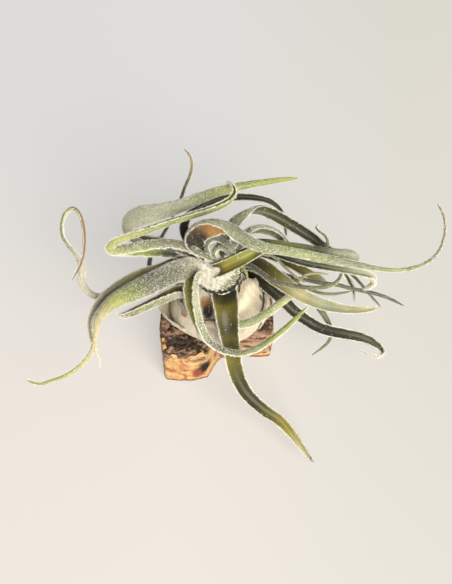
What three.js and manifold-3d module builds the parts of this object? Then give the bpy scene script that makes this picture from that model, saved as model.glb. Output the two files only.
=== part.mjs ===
// An air plant, a seleriana hybrid, growing on a chunk of cork bark.
// Millimetres, +Z up. The origin is the middle of the cork's flat underside.

import * as THREE from "three";
import { mergeVertices } from "three/addons/utils/BufferGeometryUtils.js";
import Module from "manifold-3d";

const wasm = await Module();
wasm.setup();

// The eye that the leaves' routes are told from: in front of the plant and well above it.
const EYE_AIM = [5, -13, 72];
const EYE_DISTANCE = 446;
const EYE_ELEVATION = THREE.MathUtils.degToRad(56);

// The clearance between pieces that touch, and what a leaf is made of.
const GAP = 0.3;
const LEAF_WALL = 0.9;
const LEAF_TIP = 1.2;
const TIP_ROLL = 125;
const ROLL_NARROW = 3;
const ARC_STEPS = 4;
const CURVE_STEPS = 12;
// The most of its radius that a narrow leaf's wall takes up, and how far its midrib hangs below its route.
const WALL_SHARE = 0.92;
const MIDRIB_SHARE = 0.25;

// A new ring follows after this much length, bend or twist along a leaf.
const RING_LENGTH = 10.5;
const RING_BEND = THREE.MathUtils.degToRad(29);
const RING_TWIST = THREE.MathUtils.degToRad(44);

const CORK_HEIGHT = 29;
const CORK_LEVELS = [0, 3, 10, 17, 23, 27.5];
const CORK_RINGS = [0.93, 0.78, 0.56, 0.3];
const CORK_SEAT = [2, -3];
const CORK_TOP = CORK_HEIGHT - 0.6;
const CORK_ROUGHNESS = 0.022;
const CORK_RIDGE = 1.5;
const CORK_REACH = 26;
// The cork's outline seen from above: two lobes with a step between them at the front.
const CORK_OUTLINE = [
  [-29, -23], [-22, -24.5], [-13, -24.2], [-5.5, -22.5], [-2.5, -16.5], [0.5, -11], [5, -9], [14, -8.5],
  [23, -9], [30, -8.5], [31.5, -2], [30.5, 7], [31, 15], [27, 21], [17, 23.5], [7, 22.5],
  [-4, 24.5], [-14, 23], [-23, 24], [-29.5, 19], [-31, 9], [-31.5, -2], [-30.5, -12],
];

// The bulb, bottom to top: height, middle across and back, half width and half depth.
const BULB_SIDES = 20;
const BULB_FOOT = [2, -3];
const BULB_STATIONS = [
  [27, 2, -3, 7, 7], [29.5, 2, -3, 11, 10.5], [33, 2, -4, 16, 14.5], [39, 2.5, -5, 20.5, 17.5],
  [47, 2.5, -5, 22.5, 19], [54, 2.5, -5, 21, 17.5], [60, 2, -5, 17.5, 15], [66, 2, -4.4, 13.4, 12],
  [71, 1.5, -3, 10.6, 9], [75, 1, -0.6, 8, 6], [79, 0, 2.4, 6.2, 5], [82, -1.5, 5, 5, 4.6],
];
const BULB_TOP = [-2, 6.6, 86];

// The outer leaf sheaths round the bulb. An azimuth of 0 is the plant's right and 90 its back. The foot
// and the rim are heights at even steps from the first side to the last one. The lift is how far the
// sheath stands off the bulb at its foot, in its middle and at its rim, and the flare multiplies it at
// the first side, the middle and the last one. The collar is the centre leaf's woolly sheath.
const SHEATH_WALL = 0.8;
const SHEATH_COLUMN_DEGREES = 16;
const SHEATH_LEVEL = 5;
const SHEATH_RADIUS = 15;
const SHEATHS = [
  {
    name: "sheath_collar", from: 180, to: 352, colour: 0xe9e4d6,
    foot: [75, 73, 72.5, 73, 76], rim: [79, 80.5, 79.5, 83.5, 86],
    lift: [3.4, 4.6, 3], flare: [1, 1, 1],
  },
  {
    name: "sheath_right", from: -78, to: 18, colour: 0xe2d6bd,
    foot: [37, 34, 33, 34, 37], rim: [62, 70, 73, 71, 64],
    lift: [0.4, 1.2, 4.4], flare: [1, 1, 1],
  },
  {
    name: "sheath_right_outer", from: -32, to: 52, colour: 0xded3ba,
    foot: [41, 36, 38], rim: [56, 59, 54],
    lift: [1.7, 2.4, 4.5], flare: [1, 1, 1],
  },
  {
    name: "sheath_left", from: 172, to: 238, colour: 0xe8dfcb,
    foot: [37, 34, 38], rim: [59, 61, 57],
    lift: [0.6, 3.4, 4.2], flare: [1, 1.1, 0.5],
  },
  {
    name: "sheath_left_outer", from: 150, to: 224, colour: 0xe3dccb,
    foot: [40, 34, 37], rim: [54, 56, 50],
    lift: [1.8, 4, 8], flare: [1, 1.6, 0.5],
  },
  {
    name: "sheath_front", from: 239, to: 281, colour: 0xe7ddc8,
    foot: [38, 36, 38], rim: [57, 60, 56],
    lift: [0.6, 1, 3.2], flare: [1, 1, 1],
  },
  {
    name: "sheath_back", from: 60, to: 144, colour: 0xd9cdb4,
    foot: [38, 35, 38], rim: [60, 65, 59],
    lift: [0.4, 0.8, 2.2], flare: [1, 1, 1],
  },
];

// A leaf's route: across and up as the eye sees them on a plane through EYE_AIM, the height over the
// table, the leaf's width, and its turn: 0 shows the channelled inside, 180 the scurfy back, and 90
// opens the channel to the right of the way it grows. roll is half the angle that the blade curls
// round its channel, near the base and near the tip.
const OLIVE = 0x77803f;
const SILVER = 0xa9ad8f;
const DEEP = 0x4c5433;
const LEAVES = [
  { name: "leaf_front_hanging", roll: [52, 70], colour: OLIVE, route: [
    [-1, 6, 68, 8, 0], [-1, 0, 72.5, 13, 0], [0, -6.5, 74, 12.5, 0], [1, -16.5, 68, 11, 0],
    [2.5, -26.5, 58, 9, 0], [5.5, -41.5, 43, 8, -8], [10.5, -51, 34, 7.2, -12], [19, -59, 27, 6.6, -12],
    [27, -64.5, 22, 6, -10], [33, -71, 17, 5, 0], [38, -77.5, 12, 4, 10], [42, -83, 9, 2.8, 10],
    [44, -85.5, 9, 1.2, 10]] },
  { name: "leaf_left_broad", roll: [75, 95], colour: SILVER, route: [
    [-9, 13, 72, 7, 170], [-18.5, 12, 79, 11, 172], [-26.5, 9.5, 83, 11.5, 176], [-34, 6, 85, 11, 178],
    [-41.5, 2.5, 84, 10.5, 180], [-49, -1, 80, 9.5, 180], [-56.5, -5, 74, 8, 180],
    [-61.5, -10, 67, 6, 176], [-64.5, -16, 60, 4.2, 170], [-65.5, -23, 53, 3.2, 165],
    [-67, -29.5, 47, 2.8, 165], [-71, -35, 42, 2.5, 160], [-76, -39.5, 38, 2.3, 150],
    [-81.5, -42.5, 36, 2.1, 140], [-87.5, -44.5, 35, 1.9, 130], [-93.5, -46, 35, 1.7, 120],
    [-100, -44, 37, 1.2, 120]] },
  { name: "leaf_top_arch", roll: [92, 100], colour: SILVER, route: [
    [-9.5, 16.5, 79, 5.5, 15], [-13.5, 21.5, 86, 8, 15], [-15.8, 26.5, 95, 10.5, 22],
    [-12.4, 30.8, 100.5, 11.2, 42], [-6, 32.4, 103.5, 10.5, 58], [0.8, 31.6, 104.5, 9, 92],
    [7, 28.2, 104, 7.4, 140], [13, 24.5, 102, 6.4, 168], [20, 22, 100, 5.4, 176], [27, 21, 98, 4.8, 178],
    [37, 19.2, 95, 4.8, 178], [52, 16.5, 90, 4.2, 178], [67.5, 13.3, 85, 3.4, 175],
    [79, 11.3, 81, 2.7, 170], [87, 11, 79, 2.3, 165], [95, 12.5, 78, 2.1, 160],
    [101.5, 15.5, 78, 1.9, 150], [106, 20, 79, 1.7, 140], [108.5, 25.5, 81, 1.6, 140],
    [109.5, 31.5, 83, 1.5, 140], [109, 37.5, 85, 1.4, 140], [105.5, 44.5, 86, 1.2, 140]] },
  { name: "leaf_front_loop", roll: [75, 100], colour: OLIVE, route: [
    [-9, 12, 75, 6, 30], [-16, 9, 80, 9, 50], [-17.6, 2, 80, 10.6, 60], [-17, -6.5, 77, 10.6, 66],
    [-14.2, -16.5, 71, 9, 76], [-9.5, -24.5, 65, 7, 84], [-2, -29.5, 62, 5.6, 88], [7, -31, 61, 5, 92],
    [14.5, -29, 61, 4.6, 98], [23, -23.5, 63, 4, 108], [32, -16, 66, 3.2, 118], [37, -11, 69, 2.4, 120],
    [40.5, -7.5, 71, 1.2, 120]] },
  { name: "leaf_left_folded", roll: [105, 112], colour: 0x98a05a, route: [
    [-7, 14, 79, 6.5, -30], [-11, 16, 82, 8.6, -50], [-18.5, 19.8, 84, 10.6, -60], [-26, 22, 87, 11, -62],
    [-34, 22.3, 89, 10.6, -66], [-42, 21.8, 90, 9.8, -75], [-50, 20.8, 90, 8.2, -85],
    [-55.6, 20.4, 91, 6.6, -90], [-57.8, 22.4, 95, 5.6, -90], [-55.5, 25, 99, 5.2, -85],
    [-50.5, 27.4, 101, 5, -80], [-43, 29.8, 102, 4.8, -72], [-35.5, 32.3, 102, 4.6, -66],
    [-28, 34.9, 102, 4.4, -64], [-19.5, 37.5, 101, 4.2, -62], [-10.5, 40.2, 101, 4.2, -60],
    [-3, 43, 100, 4, -50], [2.4, 46.4, 99, 3.6, -30], [4.4, 50, 99, 3, -10], [3, 53.6, 98, 2.2, 0],
    [0, 55.2, 97, 1.6, 0], [-3, 54.6, 96, 1.2, 0]] },
  { name: "leaf_top_broad", roll: [75, 105], colour: SILVER, route: [
    [-7, 16.5, 79, 6, 20], [-19, 20.5, 81, 7.5, 30], [-30.5, 23.5, 81, 8, 45], [-40.5, 26, 80.5, 8.6, 65],
    [-47.4, 29.4, 82, 9.6, 95], [-48.2, 34.4, 85.5, 10.6, 130], [-44, 37.8, 89, 11, 165],
    [-37, 39.4, 91, 10, 180], [-30.5, 41, 92, 8.6, 180], [-22, 43.5, 92, 7.2, 180],
    [-14, 46.7, 92, 6.2, 180], [-5.5, 49.8, 92, 5.6, 180], [3, 52, 91, 4.8, 180],
    [12, 53.8, 90, 4.2, 180], [21, 55.2, 88, 3.6, 180], [29.5, 56.4, 86, 2.8, 180],
    [36.5, 56.9, 84, 1.2, 180]] },
  { name: "leaf_right_back", roll: [60, 85], colour: DEEP, route: [
    [-5, 14, 79, 5, 170], [-3, 22, 83, 5.5, 170], [2, 32, 88, 6, 170], [6, 36.5, 91, 6.4, 150],
    [11, 39.5, 92, 6.6, 100], [17, 41, 92, 6.6, 45], [23, 39, 90, 6.6, 20], [29.5, 35.5, 87, 6.6, 10],
    [36, 31.5, 84, 6.6, 5], [43, 27, 80, 6, 0], [48.5, 23, 77, 4.8, 0], [54, 20, 74, 3.2, 0],
    [58.5, 18, 72, 1.2, 0]] },
  { name: "leaf_right_yellow", roll: [62, 95], colour: 0xa3a35c, route: [
    [1, 11, 66, 6, -10], [10, 14.5, 73, 8, -8], [17, 13, 76, 9, -8], [24.5, 7.5, 75, 9, -5],
    [32, 2.2, 72, 8, 0], [39.5, -2.4, 68, 7.2, 5], [49.5, -6.4, 63, 6.4, 5], [59.5, -8.4, 58, 5.2, 5],
    [69.5, -8.8, 54, 3.6, 5], [78, -7.6, 52, 1.2, 5]] },
  { name: "leaf_right_dark", roll: [60, 85], colour: DEEP, route: [
    [3, 6, 58, 6, 0], [13, 8, 62, 7, 0], [20, 3.5, 62, 7.2, 0], [27, -2.5, 58, 7, 0],
    [34, -9.5, 52, 6.8, 0], [40, -14, 47, 6.6, 0], [46, -17.5, 43, 6.4, 0], [52, -19.5, 39, 6.4, 0],
    [59.5, -21, 35, 6.2, 0], [67, -22.5, 32, 5.8, 0], [72.5, -24.5, 30, 5, 10], [77, -27.5, 29, 4, 30],
    [79, -30.3, 28.5, 3, 60], [76.5, -32.3, 28.5, 2.4, 80], [72.5, -31.8, 29, 1.8, 90],
    [67, -29.5, 29.5, 1.2, 90]] },
  { name: "leaf_centre_channel", roll: [95, 100], colour: 0x8f9a45, route: [
    [-6.5, 10.3, 79, 7.2, 0], [-3, 11.4, 82.5, 7.6, 0], [2, 13.5, 84, 7.4, 0], [8, 16.5, 86, 7.2, 0],
    [14, 19.4, 87, 6.2, -5], [20, 21, 88, 4.6, -30], [29.5, 20.2, 88, 3.6, -90],
    [39.5, 18.6, 86, 3, -150], [49.5, 16.8, 83, 2.2, -170], [57, 15.6, 80, 1.2, -170]] },
  { name: "leaf_left_rear", roll: [60, 95], colour: 0x59663d, route: [
    [-9, 15, 74, 5, 0], [-23, 15, 79, 7, 0], [-33, 11, 79, 7, 5], [-43, 8, 76, 7, 5],
    [-53, 3, 71, 6.5, 10], [-60.5, -2.5, 65, 5.5, 15], [-65.5, -8.5, 59, 4.5, 25],
    [-68, -15, 52, 3.5, 30], [-67.5, -21.5, 46, 2.9, 30], [-65.5, -27.5, 41, 2.4, 30],
    [-63.5, -33, 37, 1.8, 30], [-62.5, -38, 34, 1.2, 30]] },
  { name: "leaf_left_ribbon", roll: [65, 95], colour: 0xb9b594, route: [
    [-10, 17, 74, 3.6, 180], [-18, 17, 72, 4, 180], [-30.5, 12, 70, 4, 180], [-43, 6.5, 66, 4, 180],
    [-54, 0.5, 61, 4, 180], [-63, -2.5, 58, 3.8, 180], [-69.5, 0.5, 59.5, 4.2, 175],
    [-72.5, 6, 62, 4.6, 170], [-72, 12, 65, 4.4, 160], [-75, 18.5, 69, 3.6, 130],
    [-79, 23.5, 73, 3.4, 110], [-81.4, 28, 77, 3.6, 100], [-81.8, 34, 82, 3.2, 90],
    [-80, 39.4, 86, 2.8, 80], [-76.6, 41.8, 88, 2.6, 70], [-73.4, 39, 88, 2.6, 60],
    [-71.6, 33, 86, 2.6, 60], [-71, 26, 84, 2.5, 60], [-71.4, 19.5, 81, 2.3, 60],
    [-73, 13.5, 78, 1.9, 60], [-77, 6, 75, 1.2, 60]] },
  { name: "leaf_back_thin", roll: [85, 110], colour: 0x8b8c6a, route: [
    [-4, 15, 69, 3, 180], [-12, 15, 66, 3, 180], [-25, 8.5, 61, 3, 180], [-33, 8, 58, 3.4, 150],
    [-38, 12.5, 57, 3.6, 120], [-36.8, 19.5, 59, 3.4, 100], [-31.8, 28, 65, 2.8, 90],
    [-27.6, 35.5, 70, 2.6, 90], [-23, 45.5, 76, 2.4, 100], [-20.5, 52.5, 80, 2.3, 110],
    [-18, 58.5, 84, 2.1, 120], [-17, 64, 87, 1.9, 120], [-18, 68, 89, 1.6, 120],
    [-21, 71.5, 90, 1.2, 120]] },
  { name: "leaf_back_dark", roll: [60, 85], colour: DEEP, route: [
    [-9, 20, 74, 5, 0], [-15, 23, 78, 5.6, 10], [-20, 28, 80, 6, 20], [-21, 33.5, 82, 6, 40],
    [-17.5, 39.5, 83, 5.6, 40], [-9, 44.5, 84, 5, 20], [-0.5, 47, 85, 4.5, 10], [7, 47.5, 85, 4.3, 0],
    [15.5, 47, 84, 4, 0], [22.5, 45, 81, 3.6, 0], [27.5, 40.5, 76, 3, 10], [29.5, 34, 70, 2.4, 20],
    [30, 26, 63, 1.2, 20]] },
  { name: "leaf_right_fold", roll: [75, 100], colour: SILVER, route: [
    [-2, 18, 83, 4, 170], [9.5, 24.5, 88, 4, 165], [18, 25, 90, 4, 175], [27.5, 23.9, 91, 4, 180],
    [37, 22.6, 90, 4, 180], [47, 20.8, 88, 4.4, 180], [55, 19.4, 86, 5.2, 180],
    [61.5, 19, 82.5, 5.4, 165], [65, 17.2, 77.5, 4.6, 130], [62.5, 14.5, 72, 3.8, 90],
    [59.6, 11, 66, 3.4, 60], [61.2, 7, 59, 3.2, 40], [63.2, 2.5, 53, 2.8, 20], [64, -1.5, 48, 2.2, 10],
    [64.2, -5, 45, 1.2, 10]] },
  { name: "leaf_left_low", roll: [98, 104], colour: 0x8d9a58, route: [
    [-9, 2, 58, 6, 40], [-14, 1, 62, 7, 45], [-20, 0.5, 67, 8, 55], [-27, -1, 69, 8, 62],
    [-33, -3.7, 67, 7, 66], [-39, -6.5, 63, 6.2, 68], [-45, -9.3, 59, 5.8, 70], [-50, -11.3, 56, 5, 70],
    [-53, -11.5, 55, 3.4, 70], [-54.6, -10.5, 55.5, 1.2, 70]] },
  { name: "leaf_bulb_crossing", roll: [80, 100], colour: SILVER, route: [
    [-2, -8, 60, 3.5, 150], [0, -13.5, 64, 4.2, 150], [6.5, -16, 65, 4.8, 150],
    [13.5, -14.5, 66, 4.8, 150], [20, -10.8, 67, 4.6, 150], [26.5, -6, 66.5, 4.2, 150],
    [33, -1.5, 65.5, 3, 150], [38, 1.5, 64.5, 1.2, 150]] },
  { name: "leaf_ring", roll: [70, 85], colour: SILVER, route: [
    [0, 19, 84, 4, 150], [3, 23, 87, 5.4, 130], [9, 28.2, 91, 6.8, 100], [15, 31, 93, 7.6, 76],
    [21.5, 30.6, 92, 7.6, 66], [27.5, 27.2, 88, 6.6, 66], [29.8, 22.6, 83, 4.4, 70],
    [26, 19.5, 79, 1.2, 90]] },
  { name: "leaf_right_strip", roll: [75, 100], colour: 0x565a40, route: [
    [-2, 16, 75, 3.6, 0], [6, 19, 77.5, 4, 0], [12, 20.6, 79.5, 4.4, 0], [24.5, 19.2, 80.3, 4.4, 0],
    [34, 16, 79.5, 4.2, 0], [42, 13.9, 78, 4.2, 0], [49.5, 12.6, 76, 4.2, 0], [61.5, 10.6, 73, 4, 0],
    [69, 9, 71, 4.4, -20], [73.6, 7, 68, 4.8, -50], [73.8, 4, 65, 4.6, -75], [70.5, 1.9, 63, 3.6, -90],
    [65, 1, 61, 1.2, -90]] },
  { name: "leaf_right_rear_curl", roll: [95, 110], colour: SILVER, route: [
    [-1, 17, 80, 3, 180], [18, 21, 84.4, 2.8, 180], [32, 20, 84.3, 2.5, 180], [43, 20, 83.5, 2.2, 180],
    [50, 22, 84, 2, 170], [50.8, 25, 85.5, 1.8, 150], [49.5, 28, 87, 1.6, 120],
    [46.5, 30.3, 87.5, 1.5, 100], [45, 32.3, 87.5, 1.4, 100], [46.2, 33.8, 87, 1.2, 100]] },
  { name: "leaf_right_olive", roll: [60, 80], colour: 0x6e6a40, route: [
    [-2, 14, 62, 4, 0], [7, 18.5, 65, 4.8, 0], [18, 19.4, 66.5, 5.2, 0], [27, 16.8, 66, 5.6, 0],
    [34, 13.4, 65, 5.6, 0], [40, 9.9, 63, 5.4, 0], [46, 6.8, 60.5, 4.6, 0], [52.5, 3.8, 57.5, 1.2, 0]] },
  { name: "leaf_right_hook", roll: [95, 110], colour: 0x8fa05e, route: [
    [-1, 12.5, 73, 3, 180], [4, 13.5, 76, 3, 180], [10, 13.7, 79, 3, 180], [15, 11.5, 81.5, 3, 180],
    [20.5, 7.5, 83, 2.8, 175], [26.5, 4.5, 82.5, 2.6, 170], [34, 3, 81, 2.5, 165],
    [42, 2.2, 80, 2.4, 160], [50, 2.6, 78.5, 2.4, 150], [55.6, 5.4, 75, 2.3, 120],
    [57.7, 9.6, 69.5, 2, 100], [56.2, 13.4, 65, 1.2, 90]] },
  { name: "leaf_right_slender", roll: [90, 105], colour: 0x5f6c3d, route: [
    [-2, 13, 63, 2.4, 180], [9, 15, 65, 2.4, 180], [21, 12.6, 66, 2.4, 180], [29, 8.8, 66.5, 2.4, 180],
    [34, 7.2, 67, 2.4, 180], [40, 6, 67.6, 2.3, 180], [48, 4.4, 67, 2.4, 180], [56, 3.5, 65.5, 2.4, 180],
    [62, 1.9, 64, 2.4, 180], [67.5, 0.7, 62, 2.4, 180], [73.5, -0.6, 60, 2.3, 180],
    [79, -2.2, 58, 2.1, 170], [85, -4.8, 56, 1.7, 160], [89, -7, 55, 1.2, 160]] },
  { name: "leaf_right_inner", roll: [90, 110], colour: 0x7c8458, route: [
    [0, 11, 59, 2, 180], [9, 14, 61, 2, 180], [24.5, 9, 61, 2, 180], [37, 3.5, 62, 1.8, 180],
    [45.5, 0, 62.5, 1.8, 180], [52, -1, 62, 1.8, 180], [58, -0.5, 61, 1.5, 180], [63, 0.5, 60, 1.2, 180]] },
  { name: "leaf_right_drooping", roll: [90, 110], colour: 0x6a6f4c, route: [
    [-2, 17, 70, 2.4, 180], [10, 21, 73, 2.4, 180], [27, 18, 70.5, 2.4, 180], [44.5, 15, 66, 2.2, 180],
    [56, 12.5, 60, 2.1, 180], [62, 9.5, 56, 2, 180], [67.5, 4, 52, 1.8, 180], [72.5, -2, 48, 1.6, 180],
    [78, -8, 44, 1.2, 180]] },
  { name: "leaf_right_hanging", roll: [85, 110], colour: 0x8e9a76, route: [
    [-2, 9, 57, 3, 180], [7, 13, 58, 3, 180], [21, 10, 57, 3, 180], [33, 5, 54.5, 3.2, 180],
    [42, -3, 50, 3.4, 180], [48, -10, 43, 3.6, 180], [51.5, -16, 35, 3, 170], [52.5, -20.5, 27, 2.4, 160],
    [51.5, -24.5, 22, 2, 150], [48, -28, 19, 1.6, 140], [43, -31.5, 17, 1.2, 140]] },
  { name: "leaf_right_tendril", roll: [100, 110], colour: 0x9aa27c, route: [
    [1, 19, 84, 1.8, 180], [6, 22.5, 88, 1.8, 180], [12, 22.8, 92.5, 1.7, 180], [19, 20.5, 93, 1.6, 180],
    [25, 16.8, 91.5, 1.5, 180], [29, 12.8, 90, 1.4, 180], [33.5, 8.8, 88, 1.3, 180],
    [39.5, 4.5, 85, 1.2, 180]] },
  { name: "leaf_right_russet", roll: [100, 110], colour: 0xa58a5c, route: [
    [-2, 14, 67, 1.8, 180], [9, 15.5, 69, 1.8, 180], [24, 10, 69.8, 1.8, 180], [32, 5.8, 70.4, 1.7, 180],
    [36.4, 5.6, 72, 1.7, 180], [39.5, 8.4, 73, 1.7, 180], [43.5, 9.3, 73, 1.6, 180],
    [48, 9.2, 72, 1.5, 180], [51.5, 8.8, 71.5, 1.2, 180]] },
  { name: "leaf_centre_hook", roll: [90, 110], colour: 0x9bab62, route: [
    [4, 12.5, 74, 2.2, 180], [7.5, 12.5, 78.5, 2.3, 180], [10, 9.8, 79.5, 2.2, 180],
    [11, 6.5, 77, 1.2, 180]] },
  { name: "leaf_heart_upper", roll: [60, 80], colour: 0x8b8f72, route: [
    [-8, 17.5, 80, 3.4, 120], [-9.8, 23.5, 87, 3.8, 120], [-6, 26.8, 89.5, 4, 130],
    [-1, 25.5, 90, 3.8, 150], [3, 21.5, 88.5, 3.2, 160], [6, 17.3, 86, 1.2, 160]] },
  { name: "leaf_heart_lower", roll: [60, 80], colour: 0x8b8f72, route: [
    [-5, 15, 79, 2.8, 120], [-6, 19.8, 84.5, 3, 120], [-3, 22.3, 86.5, 3.2, 130],
    [0.8, 20.5, 86.3, 2.8, 150], [3.6, 17.2, 84.8, 1.2, 160]] },
];

const BARK = { colour: 0x8a5f3c, roughness: 0.95 };
const PSEUDOBULB = { colour: 0xe6dcc6, roughness: 0.8 };
const SHEATH_ROUGHNESS = 0.75;
const LEAF_ROUGHNESS = 0.6;

const radians = THREE.MathUtils.degToRad;
const mix = THREE.MathUtils.lerp;

// The point of the sight line through (across, up) that lies at a height over the table.
function sighted(across, up, height) {
  const sine = Math.sin(EYE_ELEVATION);
  const cosine = Math.cos(EYE_ELEVATION);
  const aim = new THREE.Vector3(...EYE_AIM);
  const eye = new THREE.Vector3(0, -cosine, sine).multiplyScalar(EYE_DISTANCE).add(aim);
  const seen = new THREE.Vector3(across, up * sine, up * cosine).add(aim);
  return eye.lerp(seen, (eye.z - height) / (eye.z - seen.z));
}

// One value list of the smooth curve through a leaf's rows, at s from 0 to 1 between rows i and i + 1.
function along(rows, i, s) {
  const row = (k) => rows[Math.min(Math.max(k, 0), rows.length - 1)];
  const [a, b, c, d] = [row(i - 1), row(i), row(i + 1), row(i + 2)];
  const spacing = (p, q) => Math.sqrt(Math.hypot(p[0] - q[0], p[1] - q[1], p[2] - q[2])) || 1;
  const [before, here, after] = [spacing(a, b), spacing(b, c), spacing(c, d)];
  return b.map((start, k) => {
    const end = c[k];
    const slope = (l, m, n, left, right) => (m - l) / left - (n - l) / (left + right) + (n - m) / right;
    const leave = slope(a[k], start, end, before, here) * here;
    const arrive = slope(start, end, d[k], here, after) * here;
    const square = s * s;
    const cube = square * s;
    return start * (2 * cube - 3 * square + 1) + leave * (cube - 2 * square + s)
      + end * (3 * square - 2 * cube) + arrive * (cube - square);
  });
}

// A leaf's centre line in fine steps, each with its point, width, turn and direction.
function centreLine(leaf) {
  const rows = leaf.route.map(([across, up, height, width, turn]) =>
    [...sighted(across, up, height).toArray(), width, turn]);
  const steps = [];
  for (let i = 0; i < rows.length - 1; i++)
    for (let k = 0; k < CURVE_STEPS; k++) steps.push(along(rows, i, k / CURVE_STEPS));
  steps.push(along(rows, rows.length - 2, 1));
  const line = steps.map(([x, y, z, width, turn]) => ({ point: new THREE.Vector3(x, y, z), width, turn }));
  line.forEach((place, i) => {
    const ahead = line[Math.min(i + 1, line.length - 1)].point;
    const behind = line[Math.max(i - 1, 0)].point;
    place.direction = ahead.clone().sub(behind).normalize();
  });
  return line;
}

// The places of a centre line that carry a ring, closer together where it bends or twists.
function ringPlaces(line) {
  const kept = [line[0]];
  let spent = 0;
  for (let i = 1; i < line.length - 1; i++) {
    spent += line[i].point.distanceTo(line[i - 1].point) / RING_LENGTH;
    spent += line[i].direction.angleTo(line[i - 1].direction) / RING_BEND;
    spent += radians(Math.abs(line[i].turn - line[i - 1].turn)) / RING_TWIST;
    if (spent < 1) continue;
    kept.push(line[i]);
    spent = 0;
  }
  kept.push(line[line.length - 1]);
  return kept;
}

// One closed crescent ring: the blade's outer arc and then its inner arc back.
function ringPoints(place, roll, grow) {
  const towardEye = new THREE.Vector3(0, -Math.cos(EYE_ELEVATION), Math.sin(EYE_ELEVATION));
  const facing = towardEye.addScaledVector(place.direction, -towardEye.dot(place.direction)).normalize();
  const side = new THREE.Vector3().crossVectors(place.direction, facing);
  const turn = radians(place.turn);
  const open = facing.clone().multiplyScalar(Math.cos(turn)).addScaledVector(side, Math.sin(turn));
  const across = new THREE.Vector3().crossVectors(place.direction, open);
  const narrow = THREE.MathUtils.clamp((ROLL_NARROW - place.width) / (ROLL_NARROW - LEAF_TIP), 0, 1);
  const half = radians(mix(roll, TIP_ROLL, narrow));
  const radius = place.width / 2 / Math.sin(Math.min(half, Math.PI / 2));
  const wall = Math.min(LEAF_WALL, radius * WALL_SHARE);
  const outer = radius + grow;
  const inner = Math.max(radius - wall - grow, radius * (1 - WALL_SHARE));
  const reach = half + grow / radius;
  const drop = half < Math.PI / 2 ? radius * (1 + Math.cos(half)) / 2 : radius * 0.5;
  const centre = place.point.clone().addScaledVector(open, drop - radius * MIDRIB_SHARE);
  const at = (size, angle) => centre.clone()
    .addScaledVector(open, -size * Math.cos(angle))
    .addScaledVector(across, size * Math.sin(angle));
  const ring = [];
  for (let k = 0; k <= ARC_STEPS; k++) ring.push(at(outer, mix(-reach, reach, k / ARC_STEPS)));
  for (let k = ARC_STEPS; k >= 0; k--) ring.push(at(inner, mix(-reach, reach, k / ARC_STEPS)));
  return ring;
}

// The side walls of a stack of closed rings that have the same number of points.
function stacked(rings) {
  const size = rings[0].length;
  const points = rings.flat();
  const faces = [];
  for (let i = 0; i < rings.length - 1; i++)
    for (let k = 0; k < size; k++) {
      const a = i * size + k;
      const b = i * size + (k + 1) % size;
      faces.push(a, b, b + size, a, b + size, a + size);
    }
  return { points, faces, size };
}

// A closed solid from points and triangles, turned right side out if need be.
function solid({ points, faces }) {
  const vertProperties = new Float32Array(points.flatMap((p) => p.toArray()));
  const built = (corners) => {
    const triVerts = new Uint32Array(corners);
    return new wasm.Manifold(new wasm.Mesh({ numProp: 3, vertProperties, triVerts }));
  };
  const made = built(faces);
  return made.volume() > 0 ? made : built(faces.toReversed());
}

// The two crescent ends of a leaf, each a strip of triangles between its arcs.
function crescentEnds(faces, size, count) {
  const arc = size / 2;
  const last = (count - 1) * size;
  for (let k = 0; k < arc - 1; k++) {
    const [a, b, c, d] = [k, k + 1, size - 2 - k, size - 1 - k];
    faces.push(a, c, b, a, d, c);
    faces.push(last + a, last + b, last + c, last + a, last + c, last + d);
  }
}

function leafSolid(leaf, grow = 0) {
  const places = ringPlaces(centreLine(leaf));
  const rings = places.map((place, i) =>
    ringPoints(place, mix(leaf.roll[0], leaf.roll[1], i / (places.length - 1)), grow));
  const body = stacked(rings);
  crescentEnds(body.faces, body.size, rings.length);
  return solid(body);
}

// The bulb's middle and half sizes at a height.
function bulbAt(height) {
  const above = BULB_STATIONS.findIndex((station) => station[0] >= height);
  const i = above < 0 ? BULB_STATIONS.length - 1 : Math.max(above, 1);
  const [low, high] = [BULB_STATIONS[i - 1], BULB_STATIONS[i]];
  const share = THREE.MathUtils.clamp((height - low[0]) / (high[0] - low[0]), 0, 1);
  return low.map((value, k) => mix(value, high[k], share)).slice(1);
}

function bulbPoint(height, azimuth, lift) {
  const [x, y, halfWidth, halfDepth] = bulbAt(height);
  return new THREE.Vector3(
    x + (halfWidth + lift) * Math.cos(azimuth),
    y + (halfDepth + lift) * Math.sin(azimuth),
    height,
  );
}

function bulbSolid(grow = 0) {
  const rings = BULB_STATIONS.map(([height]) =>
    Array.from({ length: BULB_SIDES }, (_, k) => bulbPoint(height, k / BULB_SIDES * 2 * Math.PI, grow)));
  const [x, y, top] = BULB_TOP;
  return solid(capped(rings, [...BULB_FOOT, BULB_STATIONS[0][0] - grow], [x, y, top + grow]));
}

// A stack of rings closed by a fan to a point at each end.
function capped(rings, bottom, top) {
  const body = stacked(rings);
  const last = (rings.length - 1) * body.size;
  const low = body.points.push(new THREE.Vector3(...bottom)) - 1;
  const high = body.points.push(new THREE.Vector3(...top)) - 1;
  for (let k = 0; k < body.size; k++) {
    const next = (k + 1) % body.size;
    body.faces.push(low, next, k, high, last + k, last + next);
  }
  return body;
}

// The value at a share of the way along a smooth line through evenly spaced ones.
function bowed(values, share) {
  const spot = share * (values.length - 1);
  const i = Math.min(Math.floor(spot), values.length - 2);
  const before = i > 0 ? values[i - 1] : 2 * values[0] - values[1];
  const after = i + 2 < values.length ? values[i + 2] : 2 * values[i + 1] - values[i];
  const [b, c, t] = [values[i], values[i + 1], spot - i];
  const bend = 2 * before - 5 * b + 4 * c - after;
  const turn = 3 * (b - c) + after - before;
  return b + 0.5 * t * (c - before + t * (bend + t * turn));
}

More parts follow.
